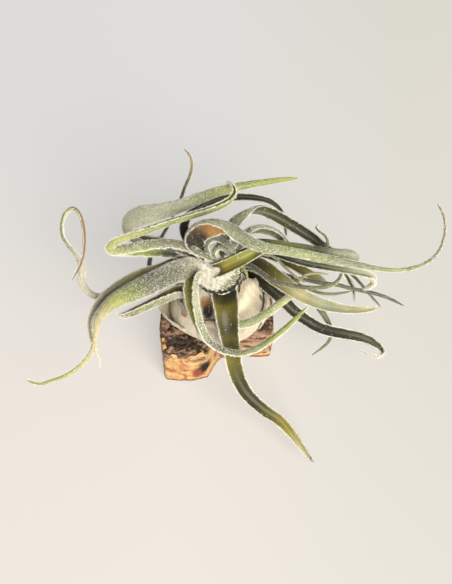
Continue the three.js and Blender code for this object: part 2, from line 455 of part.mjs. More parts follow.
// A thin shell that follows the bulb between its foot and its rim.
function sheathSolid(sheath, grow = 0) {
  const columns = Math.round((sheath.to - sheath.from) / SHEATH_COLUMN_DEGREES);
  const levels = Math.round((sheath.rim[1] - sheath.foot[1]) / SHEATH_LEVEL) + 1;
  const edge = grow / SHEATH_RADIUS;
  const rings = [];
  for (let c = 0; c <= columns; c++) {
    const share = c / columns;
    const azimuth = mix(radians(sheath.from) - edge, radians(sheath.to) + edge, share);
    const foot = bowed(sheath.foot, share) - grow;
    const rim = bowed(sheath.rim, share) + grow;
    const flare = bowed(sheath.flare, share);
    const outside = [];
    const inside = [];
    for (let l = 0; l <= levels; l++) {
      const up = l / levels;
      const height = mix(foot, rim, up);
      const lift = bowed(sheath.lift, up) * flare;
      outside.push(bulbPoint(height, azimuth, lift + SHEATH_WALL + grow));
      inside.unshift(bulbPoint(height, azimuth, lift - Math.min(grow, lift)));
    }
    rings.push([...outside, ...inside]);
  }
  const body = stacked(rings);
  crescentEnds(body.faces, body.size, rings.length);
  return solid(body);
}

// A repeatable unevenness between -1 and 1 for the cork's broken surface.
function rough(a, b) {
  const broad = Math.sin(a * 3.1 + b * 1.7) * 0.5;
  const middle = Math.sin(a * 7.3 - b * 4.1 + 2) * 0.3;
  return broad + middle + Math.sin(a * 13.7 + b * 9.2) * 0.2;
}

// The cork's outline with a point added to each side, so that its faces can be uneven.
function corkOutline() {
  const fine = [];
  CORK_OUTLINE.forEach((corner, i) => {
    const next = CORK_OUTLINE[(i + 1) % CORK_OUTLINE.length];
    fine.push(corner, [mix(corner[0], next[0], 0.5), mix(corner[1], next[1], 0.5)]);
  });
  return fine;
}

// The cork's upright sides, and then its uneven top as rings that close in on the bulb's seat.
function corkSolid(grow = 0) {
  const outline = corkOutline();
  const rings = CORK_LEVELS.map((height, level) => outline.map(([x, y], k) => {
    const unevenness = level ? CORK_ROUGHNESS * rough(k * 0.9, level * 1.3) : -CORK_ROUGHNESS / 2;
    const out = 1 + unevenness + grow / CORK_REACH;
    return new THREE.Vector3(x * out, y * out, height);
  }));
  for (const [ring, share] of CORK_RINGS.entries())
    rings.push(outline.map(([x, y], k) => {
      const ridge = CORK_RIDGE * share * rough(k * 0.7 + ring, ring * 2.1 + x * 0.05);
      const [inX, inY] = [mix(CORK_SEAT[0], x, share), mix(CORK_SEAT[1], y, share)];
      return new THREE.Vector3(inX, inY, CORK_TOP + ridge + grow);
    }));
  return solid(capped(rings, [0, 0, 0], [...CORK_SEAT, CORK_TOP + grow]));
}

const WELD = 1e-3;

// The largest body of a solid that a cut may have left in several pieces.
function largest(made) {
  return made.decompose().reduce((best, next) => (next.volume() > best.volume() ? next : best));
}

function mesh(name, made, { colour, roughness }) {
  const { vertProperties, triVerts } = made.getMesh();
  const geometry = new THREE.BufferGeometry()
    .setAttribute("position", new THREE.BufferAttribute(new Float32Array(vertProperties), 3))
    .setIndex(new THREE.BufferAttribute(new Uint32Array(triVerts), 1));
  const clean = mergeVertices(geometry, WELD);
  clean.computeVertexNormals();
  const material = new THREE.MeshStandardMaterial({ color: colour, roughness });
  const result = new THREE.Mesh(clean, material);
  result.name = name;
  return result;
}

const plant = new THREE.Group();
plant.name = "air_plant_on_cork";

const bulb = bulbSolid().subtract(corkSolid(GAP));
plant.add(mesh("cork_bark", corkSolid(), BARK));
plant.add(mesh("bulb", largest(bulb), PSEUDOBULB));

// What each later piece is cut clear of: the cork, the bulb and every piece before it.
let taken = corkSolid(GAP).add(bulbSolid(GAP));
function place({ name, colour }, shape, roughness) {
  plant.add(mesh(name, largest(shape(0).subtract(taken)), { colour, roughness }));
  taken = taken.add(shape(GAP));
}
for (const sheath of SHEATHS) place(sheath, (grow) => sheathSolid(sheath, grow), SHEATH_ROUGHNESS);
for (const leaf of LEAVES) place(leaf, (grow) => leafSolid(leaf, grow), LEAF_ROUGHNESS);

export default plant;
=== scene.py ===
"""The looks of an air plant, a seleriana hybrid, growing on a chunk of cork bark.

Sizes are in millimetres and turned to metres as each mesh is made. The leaves, sheaths, bulb and cork
follow the same values as the solids, in finer steps, and get their scurf, wool, veins and colours here.
"""

import math

import bpy
import numpy as np
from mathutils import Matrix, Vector, noise


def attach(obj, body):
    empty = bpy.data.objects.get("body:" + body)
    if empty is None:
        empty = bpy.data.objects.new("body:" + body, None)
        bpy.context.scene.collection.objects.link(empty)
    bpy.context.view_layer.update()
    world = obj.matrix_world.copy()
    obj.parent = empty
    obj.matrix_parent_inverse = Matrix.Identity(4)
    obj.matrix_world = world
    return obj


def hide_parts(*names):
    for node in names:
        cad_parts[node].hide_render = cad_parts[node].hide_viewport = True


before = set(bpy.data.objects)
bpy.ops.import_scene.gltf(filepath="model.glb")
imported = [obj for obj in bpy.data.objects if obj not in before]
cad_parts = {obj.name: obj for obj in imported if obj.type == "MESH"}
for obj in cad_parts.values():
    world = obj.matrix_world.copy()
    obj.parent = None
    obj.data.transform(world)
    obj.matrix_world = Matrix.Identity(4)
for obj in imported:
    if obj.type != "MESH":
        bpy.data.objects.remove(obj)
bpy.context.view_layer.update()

METRE = 0.001
RIGHT_ANGLE = math.pi / 2

# The eye that the leaves' routes are told from, and the camera's place.
EYE_AIM = np.array([5.0, -13.0, 72.0])
EYE_DISTANCE = 446
EYE_ELEVATION = math.radians(56)
TOWARD_EYE = np.array([0, -math.cos(EYE_ELEVATION), math.sin(EYE_ELEVATION)])
LENS_MM = 55

# The studio, with places and sizes in metres. The paper glows by itself as painted light, and its glow
# is painted darker to its far side and to its right, over PAPER_DEPTHS and PAPER_SPAN, as painted shade.
FLOOR_HALF = 3
PAPER_FRONT = "#c4bfb8"
PAPER_FAR = "#bbbcbd"
PAPER_RIGHT = "#b5b4ac"
PAPER_DEPTHS = (-0.04, 0.17)
PAPER_SPAN = (-0.02, 0.13)
PAPER_PAINTED_GLOW = 0.96
WINDOW_PLACE = (0.8, -1.55, 1.3)
WINDOW_AIM = (0, 0, 0.05)
WINDOW_SIZE = 1.7
WINDOW_POWER = 106
ROOM_LIGHT = 0.36

# A leaf blade. It is a curled sheet with thin, rippled margins that narrows to a point, and where it is
# narrower than ROLL_NARROW it rolls up towards TIP_ROLL. Its wall and the hollow along its inside keep
# to shares of its radius. The inside's colour is painted darker along the middle of the channel as
# painted shade, and lighter towards its margins as painted light.
LEAF_WALL = 0.9
LEAF_TIP = 1.2
TIP_ROLL = 125
ROLL_NARROW = 3
WALL_SHARE = 0.92
MIDRIB_SHARE = 0.25
HOLLOW_SHARE = 0.08
MARGIN_SHARE = 0.3
RIPPLE_ROLL = 0.05
RIPPLE_DEPTH = 0.02
POINT_LENGTH = 6
POINT_SHARE = 0.35
POINT_WIDTH = 0.4
POINT_CURVE = 0.7
CHANNEL_PAINTED_SHADE = 0.65
CHANNEL_PAINTED_LIGHT = 1.15
CHANNEL_CURVE = 1.5
RING_EVERY = 1.1
FEWEST_RINGS = 20
ROUTE_STEPS = 16
ARC_POINTS = 15

# The gentle waves of a blade's left margin, its right margin and its scurf, as lengths. Each starts
# anywhere in its first WAVE_START radians.
WAVE_START = 6.3
LEFT_WAVES = (9.1, 5.3, 3.1)
RIGHT_WAVES = (8.3, 4.7, 2.9)
SCURF_WAVES = (23, 11)
SCURF_SWAY = 0.18

# How much of its scurf a leaf has on its inside and along the middle of its back, how much more at its
# margins, and how closely the pale line keeps to them.
INSIDE_SCURF = 0.25
MIDDLE_SCURF = 0.8
MARGIN_SCURF = 0.5
MARGIN_LINE = 12

# The wool: how white a leaf's scurf makes it, the scales for each square millimetre of its back and
# its inside, and the hairs for each millimetre of its margins.
WOOL = {
    "bare": (0.1, 0.6, 0.2, 3.0),
    "light": (0.16, 1.2, 0.06, 10.0),
    "middling": (0.27, 3.0, 0.25, 14.0),
    "heavy": (0.42, 6.0, 0.5, 18.0),
    "dense": (0.52, 10.0, 1.2, 22.0),
    "felt": (0.85, 22.0, 6.0, 26.0),
}

# Real scales are about a third of this long and far more: they are drawn as coarse as they need to show.
# A leaf narrower than FULL_SCALE_WIDTH has shorter ones. They vary between two shares of their length,
# lean towards the leaf's tip and stray.
SCALE_LENGTH = 0.55
SCALE_WIDTH = 0.24
FRINGE_LENGTH = 1.05
FULL_SCALE_WIDTH = 5
SHORTEST_SCALE = 0.6
SCALES_VARY = (0.5, 1.2)
SCALES_LEAN = 0.7
SCALES_STRAY = 0.6
FRINGE_VARIES = (0.25, 1.2)
FRINGE_LEANS = 0.5
FRINGE_STRAYS = 0.5

# Living and dried plant colours, as sRGB. umber, nearly black, is painted shade wherever it is used: at
# the bases of leaves where they leave the heart, along the middle of the two dark leaves, at the
# collar's foot, deep inside the dry sheaths and in a hollow of the bulb.
COLOURS = {
    "olive": "#615a16",
    "deep_olive": "#35330f",
    "moss": "#2c311a",
    "umber": "#1f180c",
    "gold": "#7d741c",
    "amber": "#a87b40",
    "tan": "#8b7440",
    "rust": "#855426",
    "ember": "#7d3f04",
    "plum": "#654e4b",
    "leaf_green": "#687424",
    "vivid_green": "#7d9030",
    "lime": "#8e9340",
    "grey_green": "#4f5532",
    "sage": "#5e5d3c",
    "straw": "#a39c70",
    "ivory": "#a5a18b",
    "silver": "#8a8f74",
    "cream": "#c0b49b",
    "husk": "#6f5335",
    "bark_brown": "#3a2716",
    "felt_white": "#bfbbad",
}


def shade(hexed):
    """An sRGB hex value as a linear colour with alpha."""
    parts = [int(hexed[i:i + 2], 16) / 255 for i in (1, 3, 5)]
    return (*[p / 12.92 if p <= 0.04045 else ((p + 0.055) / 1.055) ** 2.4 for p in parts], 1.0)


TINTS = {name: shade(hexed) for name, hexed in COLOURS.items()}

# The cork. Its top is made of rings at shares of its outline. Its crust ends SAWN_MARGIN in from its top
# edge, where less than 0 is down its side and INNERMOST is the middle, in a line as ragged as RAGGED.
# Right of WEATHERED_FROM its sides are weathered to WEATHERED_DEPTH. A shallow pit with a rusty stain
# beside it is in the front of its left lobe, and the pit is painted nearly black as painted shade, so
# that it reads as a hole.
CORK_HEIGHT = 29
CORK_SEAT = np.array([2.0, -3.0])
CORK_OUTLINE = [
    (-29, -23), (-22, -24.5), (-13, -24.2), (-5.5, -22.5), (-2.5, -16.5), (0.5, -11), (5, -9),
    (14, -8.5), (23, -9), (30, -8.5), (31.5, -2), (30.5, 7), (31, 15), (27, 21), (17, 23.5),
    (7, 22.5), (-4, 24.5), (-14, 23), (-23, 24), (-29.5, 19), (-31, 9), (-31.5, -2), (-30.5, -12),
]
CORK_STEPS = 11
CORK_LEVELS = 60
CORK_RINGS = 52
TOP_RINGS = (0.985, 0.02)
INNERMOST = 30
SIDE_TOP = CORK_HEIGHT - 1.2
BARK_LEVEL = CORK_HEIGHT - 0.9
SAWN_MARGIN = -3
RAGGED = 24
WEATHERED_FROM = -1
WEATHERED_DEPTH = 24
CORK_PIT = (-6, -22, 12.5)
PIT_RADIUS = 3
PIT_DEPTH = 1.6
RUST_SPOT = (-10, -23.5, 8)
RUST_RADIUS = 6

# The relief of the cork's sides and of its bark, in layers of finer and finer lumps: how many times
# finer than LUMP or BARK_RIDGE, which count repeats in a millimetre, and how deep. The bark has cracks,
# and the sides have hollows and a worn top edge. The bark rises inwards from RISE_START of its relief.
LUMP = 0.16
SIDE_RELIEF = ((1.5, 0.7), (5, 0.35), (13, 0.15))
BARK_RIDGE = (0.11, 0.2)
BARK_RELIEF = ((1.6, 1.1), (4.3, 0.6), (11, 0.3))
CRACKS_FINER = 2.1
CRACK_DEPTH = 1.6
CRACK_WIDTH = 0.16
HOLLOW_REPEATS = (0.22, 0.5)
HOLLOW_FROM = 0.45
HOLLOW_DEPTH = 3.9
HOLLOW_START = 9
EDGE_WEAR = 0.5
WEAR_CURVE = 6
RISE_START = 0.25
RISE_RATE = 12
BARK_START = 3
CRACK_START = (4, 7, 1)

# The bulb, bottom to top: height, middle across and back, half width and half depth.
BULB_STATIONS = [
    (27, 2, -3, 7, 7), (29.5, 2, -3, 11, 10.5), (33, 2, -4, 16, 14.5), (39, 2.5, -5, 20.5, 17.5),
    (47, 2.5, -5, 22.5, 19), (54, 2.5, -5, 21, 17.5), (60, 2, -5, 17.5, 15), (66, 2, -4.4, 13.4, 12),
    (71, 1.5, -3, 10.6, 9), (75, 1, -0.6, 8, 6), (79, 0, 2.4, 6.2, 5), (82, -1.5, 5, 5, 4.6),
]
BULB_TOP = (-2, 6.6, 86)
BULB_FOOT = (2, -3, 27)
BULB_ROWS = 110
BULB_COLUMNS = 120
BULB_SAMPLES = 160
BULB_SMOOTHING = 9
BULB_SEED = 7

# The bulb's faint flutes: how many, their lean for each millimetre up, their start and their depth.
# They grow in over the first FLUTES_RISE of its height.
FLUTES = ((9, 0.05, 0, 0.22), (23, 0, 2, 0.14))
FLUTES_RISE = 8

# The heart is felted from this height on the bulb and fully so this much higher. The scurf of the
# bulb and what the felt adds, the scales for each square millimetre, and the heart's scales' length.
FELT_FROM = 66
FELT_RISE = 8
BULB_SCURF = 0.15
HEART_SCURF = 0.8
BULB_SCALES = 0.7
HEART_SCALES = 22
HEART_SCALE_LENGTH = 0.8

# Marks on the bulb and the sheaths: colour, centre, half width and half height, and strength. The tan,
# rust and ember ones are stains; the umber and bark_brown ones are painted shade, in a hollow and in a gap.
STAINS_AND_PAINTED_SHADE = [
    ("tan", (-4.8, -15.6, 66), (4.6, 3.6), 0.8),
    ("rust", (-4.6, -16.2, 64), (4.2, 3.6), 0.8),
    # Painted shade: a dark hollow at the front of the bulb, below the collar.
    ("umber", (-4.2, -17.6, 60.8), (3.4, 5.6), 1),
    ("ember", (-16.6, -17.2, 57.6), (2.3, 1.5), 1),
    # Painted shade: a dark gap beside the right sheath.
    ("bark_brown", (23.2, -7.4, 58.8), (1.4, 5), 0.95),
]

# The outer leaf sheaths. An azimuth of 0 is the plant's right and 90 its back. The foot's and the rim's
# heights and the flare are given at even steps from the first azimuth to the last. The lift is how far
# a sheath stands off the bulb at its foot, its middle and its rim, and the flare multiplies it.
SHEATHS = {
    "sheath_collar": dict(
        azimuth=(180, 352), foot=(75, 73, 72.5, 73, 76), rim=(79, 80.5, 79.5, 83.5, 86),
        lift=(3.4, 4.6, 3), flare=(1, 1, 1)),
    "sheath_right": dict(
        azimuth=(-78, 18), foot=(37, 34, 33, 34, 37), rim=(62, 70, 73, 71, 64),
        lift=(0.4, 1.2, 4.4), flare=(1, 1, 1)),
    "sheath_right_outer": dict(
        azimuth=(-32, 52), foot=(41, 36, 38), rim=(56, 59, 54),
        lift=(1.7, 2.4, 4.5), flare=(1, 1, 1)),
    "sheath_left": dict(
        azimuth=(172, 238), foot=(37, 34, 38), rim=(59, 61, 57),
        lift=(0.6, 3.4, 4.2), flare=(1, 1.1, 0.5)),
    "sheath_left_outer": dict(
        azimuth=(150, 224), foot=(40, 34, 37), rim=(54, 56, 50),
        lift=(1.8, 4, 8), flare=(1, 1.6, 0.5)),
    "sheath_front": dict(
        azimuth=(239, 281), foot=(38, 36, 38), rim=(57, 60, 56),
        lift=(0.6, 1, 3.2), flare=(1, 1, 1)),
    "sheath_back": dict(
        azimuth=(60, 144), foot=(38, 35, 38), rim=(60, 65, 59),
        lift=(0.4, 0.8, 2.2), flare=(1, 1, 1)),
}
SHEATH_ROWS_PER_RADIAN = 34
FEWEST_SHEATH_ROWS = 24
SHEATH_COLUMNS = 34
SHEATH_RADIUS = 18

# A sheath's rim and lift sway along it, by so much over waves of these lengths. It thins upwards, and a
# pale line keeps to its rim and its ends. The collar's felt lies in folds: their depth, and their turns
# for each millimetre round and up.
RIM_SWAY = 0.5
RIM_WAVES = (7.3, 3.7, 2.1)
LIFT_SWAY = 0.25
LIFT_WAVES = (11, 5.1)
THINNING = 0.55
RIM_LINE = 10
END_ROWS = 3
FOLD_DEPTH = 0.45
FOLDS_ROUND = (1.3, -0.6)
FOLDS_UP = (1, 1.7)

# Where the collar's lower right is tinted grey-green with less felt, partly the green of the leaf base and
# partly painted shade where the collar turns under, as shares of the way round it and up it: where it
# comes in, and where it has gone and is full below. The felt grows above its dark foot, which is painted
# shade. Where the green is full, so much of the scurf and of the scales is missing.
GREEN_ROUND = (0.45, 0.6)
GREEN_UP = (0.14, 0.24)
GREEN_GONE = (0.7, 0.4)
FELT_UP = (0.14, 0.28)
SCURF_LOST = 0.75
SCALES_LOST = 0.93

# The first sheath's and the first leaf's seed, how far each one's pattern is from the last one's, and
# its inside's from its back's.
SHEATH_SEED = 11
LEAF_SEED = 41
LEAF_PATTERN = 31
LEAF_INSIDE_PATTERN = (0, 0, 11)
SHEATH_PATTERN = 17
SHEATH_INSIDE_PATTERN = (0, 0, 5)

# What a dry sheath is like and what the woolly collar is like: wall, colours from foot to rim, scurf,
# wool and length of its scales. The umber deep inside a dry sheath is painted shade in the gap between
# sheath and bulb, and the collar's umber foot and the sage above it are painted shade under its overhang.
DRY = dict(
    wall=0.8, outside="cream cream:0.9 husk:0.97 husk",
    inside="umber umber:0.12 cream:0.24 cream:0.93 husk", scurf=0.2, wool="bare", scale=0.5)
WOOLLY = dict(
    wall=1.04, outside="umber umber:0.18 sage:0.32 felt_white:0.55 felt_white",
    scurf=0.9, wool="felt", scale=1.5)

# A leaf's route: across and up as the eye sees them on a plane through EYE_AIM, the height over the
# table, the leaf's width, and its turn: 0 shows the channelled inside, 180 the scurfy back. roll is half
# the angle that the blade curls round, at its base and its tip. wool, inside and back name what covers
# and colours it from base to tip, and a name may carry its share of the way.
# Near-black umber at a leaf's base is painted shade where the leaf comes out of the heart, and so is the
# umber along the middle of leaf_right_dark and leaf_back_dark.
LEAVES = {
    "leaf_front_hanging": dict(
        roll=(52, 70), wool="light",
        inside=("umber umber:0.085 deep_olive:0.1 olive:0.16 deep_olive:0.26 olive:0.42 "
                "deep_olive:0.54 deep_olive:0.66 gold:0.82 straw:0.93 ivory"),
        back="grey_green grey_green",
        route=[
            (-1, 6, 68, 8, 0), (-1, 0, 72.5, 13, 0), (0, -6.5, 74, 12.5, 0), (1, -16.5, 68, 11, 0),
            (2.5, -26.5, 58, 9, 0), (5.5, -41.5, 43, 8, -8), (10.5, -51, 34, 7.2, -12),
            (19, -59, 27, 6.6, -12), (27, -64.5, 22, 6, -10), (33, -71, 17, 5, 0),
            (38, -77.5, 12, 4, 10), (42, -83, 9, 2.8, 10), (44, -85.5, 9, 1.2, 10),
        ]),
    "leaf_left_broad": dict(
        roll=(75, 95),
        wool=("felt felt:0.05 dense:0.1 heavy:0.2 middling:0.36 "
              "light:0.45 light:0.55 middling:0.65 middling"),
        inside="deep_olive olive leaf_green",
        back=("sage sage:0.1 moss:0.2 moss:0.28 leaf_green:0.34 lime:0.41 "
              "straw:0.52 straw:0.68 lime:0.84 leaf_green"),
        route=[
            (-9, 13, 72, 7, 170), (-18.5, 12, 79, 11, 172), (-26.5, 9.5, 83, 11.5, 176),
            (-34, 6, 85, 11, 178), (-41.5, 2.5, 84, 10.5, 180), (-49, -1, 80, 9.5, 180),
            (-56.5, -5, 74, 8, 180), (-61.5, -10, 67, 6, 176), (-64.5, -16, 60, 4.2, 170),
            (-65.5, -23, 53, 3.2, 165), (-67, -29.5, 47, 2.8, 165), (-71, -35, 42, 2.5, 160),
            (-76, -39.5, 38, 2.3, 150), (-81.5, -42.5, 36, 2.1, 140), (-87.5, -44.5, 35, 1.9, 130),
            (-93.5, -46, 35, 1.7, 120), (-100, -44, 37, 1.2, 120),
        ]),
    "leaf_top_arch": dict(
        roll=(92, 100), wool="heavy",
        inside="umber umber:0.08 bark_brown:0.11 amber:0.15 amber:0.18 tan:0.22 olive:0.3 leaf_green:1",
        back="sage sage grey_green leaf_green grey_green leaf_green grey_green tan",
        route=[
            (-9.5, 16.5, 79, 5.5, 15), (-13.5, 21.5, 86, 8, 15), (-15.8, 26.5, 95, 10.5, 22),
            (-12.4, 30.8, 100.5, 11.2, 42), (-6, 32.4, 103.5, 10.5, 58), (0.8, 31.6, 104.5, 9, 92),
            (7, 28.2, 104, 7.4, 140), (13, 24.5, 102, 6.4, 168), (20, 22, 100, 5.4, 176),
            (27, 21, 98, 4.8, 178), (37, 19.2, 95, 4.8, 178), (52, 16.5, 90, 4.2, 178),
            (67.5, 13.3, 85, 3.4, 175), (79, 11.3, 81, 2.7, 170), (87, 11, 79, 2.3, 165),
            (95, 12.5, 78, 2.1, 160), (101.5, 15.5, 78, 1.9, 150), (106, 20, 79, 1.7, 140),
            (108.5, 25.5, 81, 1.6, 140), (109.5, 31.5, 83, 1.5, 140), (109, 37.5, 85, 1.4, 140),
            (105.5, 44.5, 86, 1.2, 140),
        ]),
    "leaf_front_loop": dict(
        roll=(75, 100), wool="dense dense:0.25 heavy:0.4 middling:0.7 light",
        inside="umber gold:0.15 gold:0.3 olive:0.4 leaf_green vivid_green vivid_green",
        back="grey_green leaf_green moss leaf_green vivid_green",
        route=[
            (-9, 12, 75, 6, 30), (-16, 9, 80, 9, 50), (-17.6, 2, 80, 10.6, 60),
            (-17, -6.5, 77, 10.6, 66), (-14.2, -16.5, 71, 9, 76), (-9.5, -24.5, 65, 7, 84),
            (-2, -29.5, 62, 5.6, 88), (7, -31, 61, 5, 92), (14.5, -29, 61, 4.6, 98),
            (23, -23.5, 63, 4, 108), (32, -16, 66, 3.2, 118), (37, -11, 69, 2.4, 120),
            (40.5, -7.5, 71, 1.2, 120),
        ]),
    "leaf_left_folded": dict(
        roll=(105, 112), wool="middling middling:0.14 heavy:0.3 middling:0.5 light",
        inside="umber:0.14 moss:0.18 leaf_green:0.23 leaf_green:0.38 lime:0.5 leaf_green:0.58 leaf_green",
        back="grey_green sage leaf_green:0.3 lime:0.45 leaf_green:0.55 leaf_green",
        route=[
            (-7, 14, 79, 6.5, -30), (-11, 16, 82, 8.6, -50), (-18.5, 19.8, 84, 10.6, -60),
            (-26, 22, 87, 11, -62), (-34, 22.3, 89, 10.6, -66), (-42, 21.8, 90, 9.8, -75),
            (-50, 20.8, 90, 8.2, -85), (-55.6, 20.4, 91, 6.6, -90), (-57.8, 22.4, 95, 5.6, -90),
            (-55.5, 25, 99, 5.2, -85), (-50.5, 27.4, 101, 5, -80), (-43, 29.8, 102, 4.8, -72),
            (-35.5, 32.3, 102, 4.6, -66), (-28, 34.9, 102, 4.4, -64), (-19.5, 37.5, 101, 4.2, -62),
            (-10.5, 40.2, 101, 4.2, -60), (-3, 43, 100, 4, -50), (2.4, 46.4, 99, 3.6, -30),
            (4.4, 50, 99, 3, -10), (3, 53.6, 98, 2.2, 0), (0, 55.2, 97, 1.6, 0), (-3, 54.6, 96, 1.2, 0),
        ]),
    "leaf_top_broad": dict(
        roll=(75, 105), wool="bare bare:0.08 dense:0.18 dense:0.45 heavy:0.65 middling:0.75 light",
        inside="umber umber:0.05 sage:0.1 olive lime",
        back="umber umber:0.05 silver:0.1 silver:0.5 leaf_green:0.65 lime:0.7 leaf_green:0.78 lime",
        route=[
            (-7, 16.5, 79, 6, 20), (-19, 20.5, 81, 7.5, 30), (-30.5, 23.5, 81, 8, 45),
            (-40.5, 26, 80.5, 8.6, 65), (-47.4, 29.4, 82, 9.6, 95), (-48.2, 34.4, 85.5, 10.6, 130),
            (-44, 37.8, 89, 11, 165), (-37, 39.4, 91, 10, 180), (-30.5, 41, 92, 8.6, 180),
            (-22, 43.5, 92, 7.2, 180), (-14, 46.7, 92, 6.2, 180), (-5.5, 49.8, 92, 5.6, 180),
            (3, 52, 91, 4.8, 180), (12, 53.8, 90, 4.2, 180), (21, 55.2, 88, 3.6, 180),
            (29.5, 56.4, 86, 2.8, 180), (36.5, 56.9, 84, 1.2, 180),
        ]),
    "leaf_right_back": dict(
        roll=(60, 85), wool="middling",
        inside="grey_green sage:0.22 grey_green:0.36 deep_olive:0.6 moss:0.75 moss",
        back="grey_green sage moss",
        route=[
            (-5, 14, 79, 5, 170), (-3, 22, 83, 5.5, 170), (2, 32, 88, 6, 170), (6, 36.5, 91, 6.4, 150),
            (11, 39.5, 92, 6.6, 100), (17, 41, 92, 6.6, 45), (23, 39, 90, 6.6, 20),
            (29.5, 35.5, 87, 6.6, 10), (36, 31.5, 84, 6.6, 5), (43, 27, 80, 6, 0),
            (48.5, 23, 77, 4.8, 0), (54, 20, 74, 3.2, 0), (58.5, 18, 72, 1.2, 0),
        ]),
    "leaf_right_yellow": dict(
        roll=(62, 95), wool="middling",
        inside="umber deep_olive:0.12 deep_olive:0.22 olive:0.32 straw:0.48 silver:0.66 straw",
        back="straw silver",
        route=[
            (1, 11, 66, 6, -10), (10, 14.5, 73, 8, -8), (17, 13, 76, 9, -8), (24.5, 7.5, 75, 9, -5),
            (32, 2.2, 72, 8, 0), (39.5, -2.4, 68, 7.2, 5), (49.5, -6.4, 63, 6.4, 5),
            (59.5, -8.4, 58, 5.2, 5), (69.5, -8.8, 54, 3.6, 5), (78, -7.6, 52, 1.2, 5),
        ]),
    "leaf_right_dark": dict(
        roll=(60, 85), wool="light light:0.25 middling:0.7 heavy:0.85 dense",
        inside="umber umber:0.12 deep_olive:0.28 umber:0.38 umber:0.6 moss:0.74 grey_green:0.84 ivory",
        back="grey_green ivory",
        route=[
            (3, 6, 58, 6, 0), (13, 8, 62, 7, 0), (20, 3.5, 62, 7.2, 0), (27, -2.5, 58, 7, 0),
            (34, -9.5, 52, 6.8, 0), (40, -14, 47, 6.6, 0), (46, -17.5, 43, 6.4, 0),
            (52, -19.5, 39, 6.4, 0), (59.5, -21, 35, 6.2, 0), (67, -22.5, 32, 5.8, 0),
            (72.5, -24.5, 30, 5, 10), (77, -27.5, 29, 4, 30), (79, -30.3, 28.5, 3, 60),
            (76.5, -32.3, 28.5, 2.4, 80), (72.5, -31.8, 29, 1.8, 90), (67, -29.5, 29.5, 1.2, 90),
        ]),
    "leaf_centre_channel": dict(
        roll=(95, 100), wool="light",
        inside="umber gold:0.12 lime:0.3 lime:0.6 leaf_green",
        back="sage straw grey_green",
        route=[
            (-6.5, 10.3, 79, 7.2, 0), (-3, 11.4, 82.5, 7.6, 0), (2, 13.5, 84, 7.4, 0),
            (8, 16.5, 86, 7.2, 0), (14, 19.4, 87, 6.2, -5), (20, 21, 88, 4.6, -30),
            (29.5, 20.2, 88, 3.6, -90), (39.5, 18.6, 86, 3, -150), (49.5, 16.8, 83, 2.2, -170),
            (57, 15.6, 80, 1.2, -170),
        ]),
    # Its inside is painted pale straw and ivory towards its tip, partly as painted light where it lies in
    # the shade of leaf_left_broad.
    "leaf_left_rear": dict(
        roll=(60, 95), wool="middling middling:0.3 heavy:0.42 dense:0.6 heavy",
        inside="moss moss:0.15 grey_green:0.2 straw:0.3 straw:0.4 ivory:0.6 ivory",
        back="moss moss:0.15 grey_green:0.22 straw:0.32 straw:0.6 straw",
        route=[
            (-9, 15, 74, 5, 0), (-23, 15, 79, 7, 0), (-33, 11, 79, 7, 5), (-43, 8, 76, 7, 5),
            (-53, 3, 71, 6.5, 10), (-60.5, -2.5, 65, 5.5, 15), (-65.5, -8.5, 59, 4.5, 25),
            (-68, -15, 52, 3.5, 30), (-67.5, -21.5, 46, 2.9, 30), (-65.5, -27.5, 41, 2.4, 30),
            (-63.5, -33, 37, 1.8, 30), (-62.5, -38, 34, 1.2, 30),
        ]),
    "leaf_left_ribbon": dict(
        roll=(65, 95), wool="dense dense:0.55 middling:0.65 light",
        inside="lime:0.5 leaf_green:0.7 tan",
        back="grey_green sage:0.12 ivory:0.25 ivory:0.5 grey_green:0.62 leaf_green:0.7 rust:0.85 plum",
        route=[
            (-10, 17, 74, 3.6, 180), (-18, 17, 72, 4, 180), (-30.5, 12, 70, 4, 180),
            (-43, 6.5, 66, 4, 180), (-54, 0.5, 61, 4, 180), (-63, -2.5, 58, 3.8, 180),
            (-69.5, 0.5, 59.5, 4.2, 175), (-72.5, 6, 62, 4.6, 170), (-72, 12, 65, 4.4, 160),
            (-75, 18.5, 69, 3.6, 130), (-79, 23.5, 73, 3.4, 110), (-81.4, 28, 77, 3.6, 100),
            (-81.8, 34, 82, 3.2, 90), (-80, 39.4, 86, 2.8, 80), (-76.6, 41.8, 88, 2.6, 70),
            (-73.4, 39, 88, 2.6, 60), (-71.6, 33, 86, 2.6, 60), (-71, 26, 84, 2.5, 60),
            (-71.4, 19.5, 81, 2.3, 60), (-73, 13.5, 78, 1.9, 60), (-77, 6, 75, 1.2, 60),
        ]),
    "leaf_back_thin": dict(
        roll=(85, 110), wool="middling",
        inside="moss moss:0.8 tan:0.92 plum",
        back="grey_green grey_green moss grey_green grey_green:0.84 tan:0.92 plum",
        route=[
            (-4, 15, 69, 3, 180), (-12, 15, 66, 3, 180), (-25, 8.5, 61, 3, 180), (-33, 8, 58, 3.4, 150),
            (-38, 12.5, 57, 3.6, 120), (-36.8, 19.5, 59, 3.4, 100), (-31.8, 28, 65, 2.8, 90),
            (-27.6, 35.5, 70, 2.6, 90), (-23, 45.5, 76, 2.4, 100), (-20.5, 52.5, 80, 2.3, 110),
            (-18, 58.5, 84, 2.1, 120), (-17, 64, 87, 1.9, 120), (-18, 68, 89, 1.6, 120),
            (-21, 71.5, 90, 1.2, 120),
        ]),
    "leaf_back_dark": dict(
        roll=(60, 85), wool="light",
        inside="umber umber:0.2 moss:0.4 umber:0.6 moss grey_green",
        back="moss grey_green",
        route=[
            (-9, 20, 74, 5, 0), (-15, 23, 78, 5.6, 10), (-20, 28, 80, 6, 20), (-21, 33.5, 82, 6, 40),
            (-17.5, 39.5, 83, 5.6, 40), (-9, 44.5, 84, 5, 20), (-0.5, 47, 85, 4.5, 10),
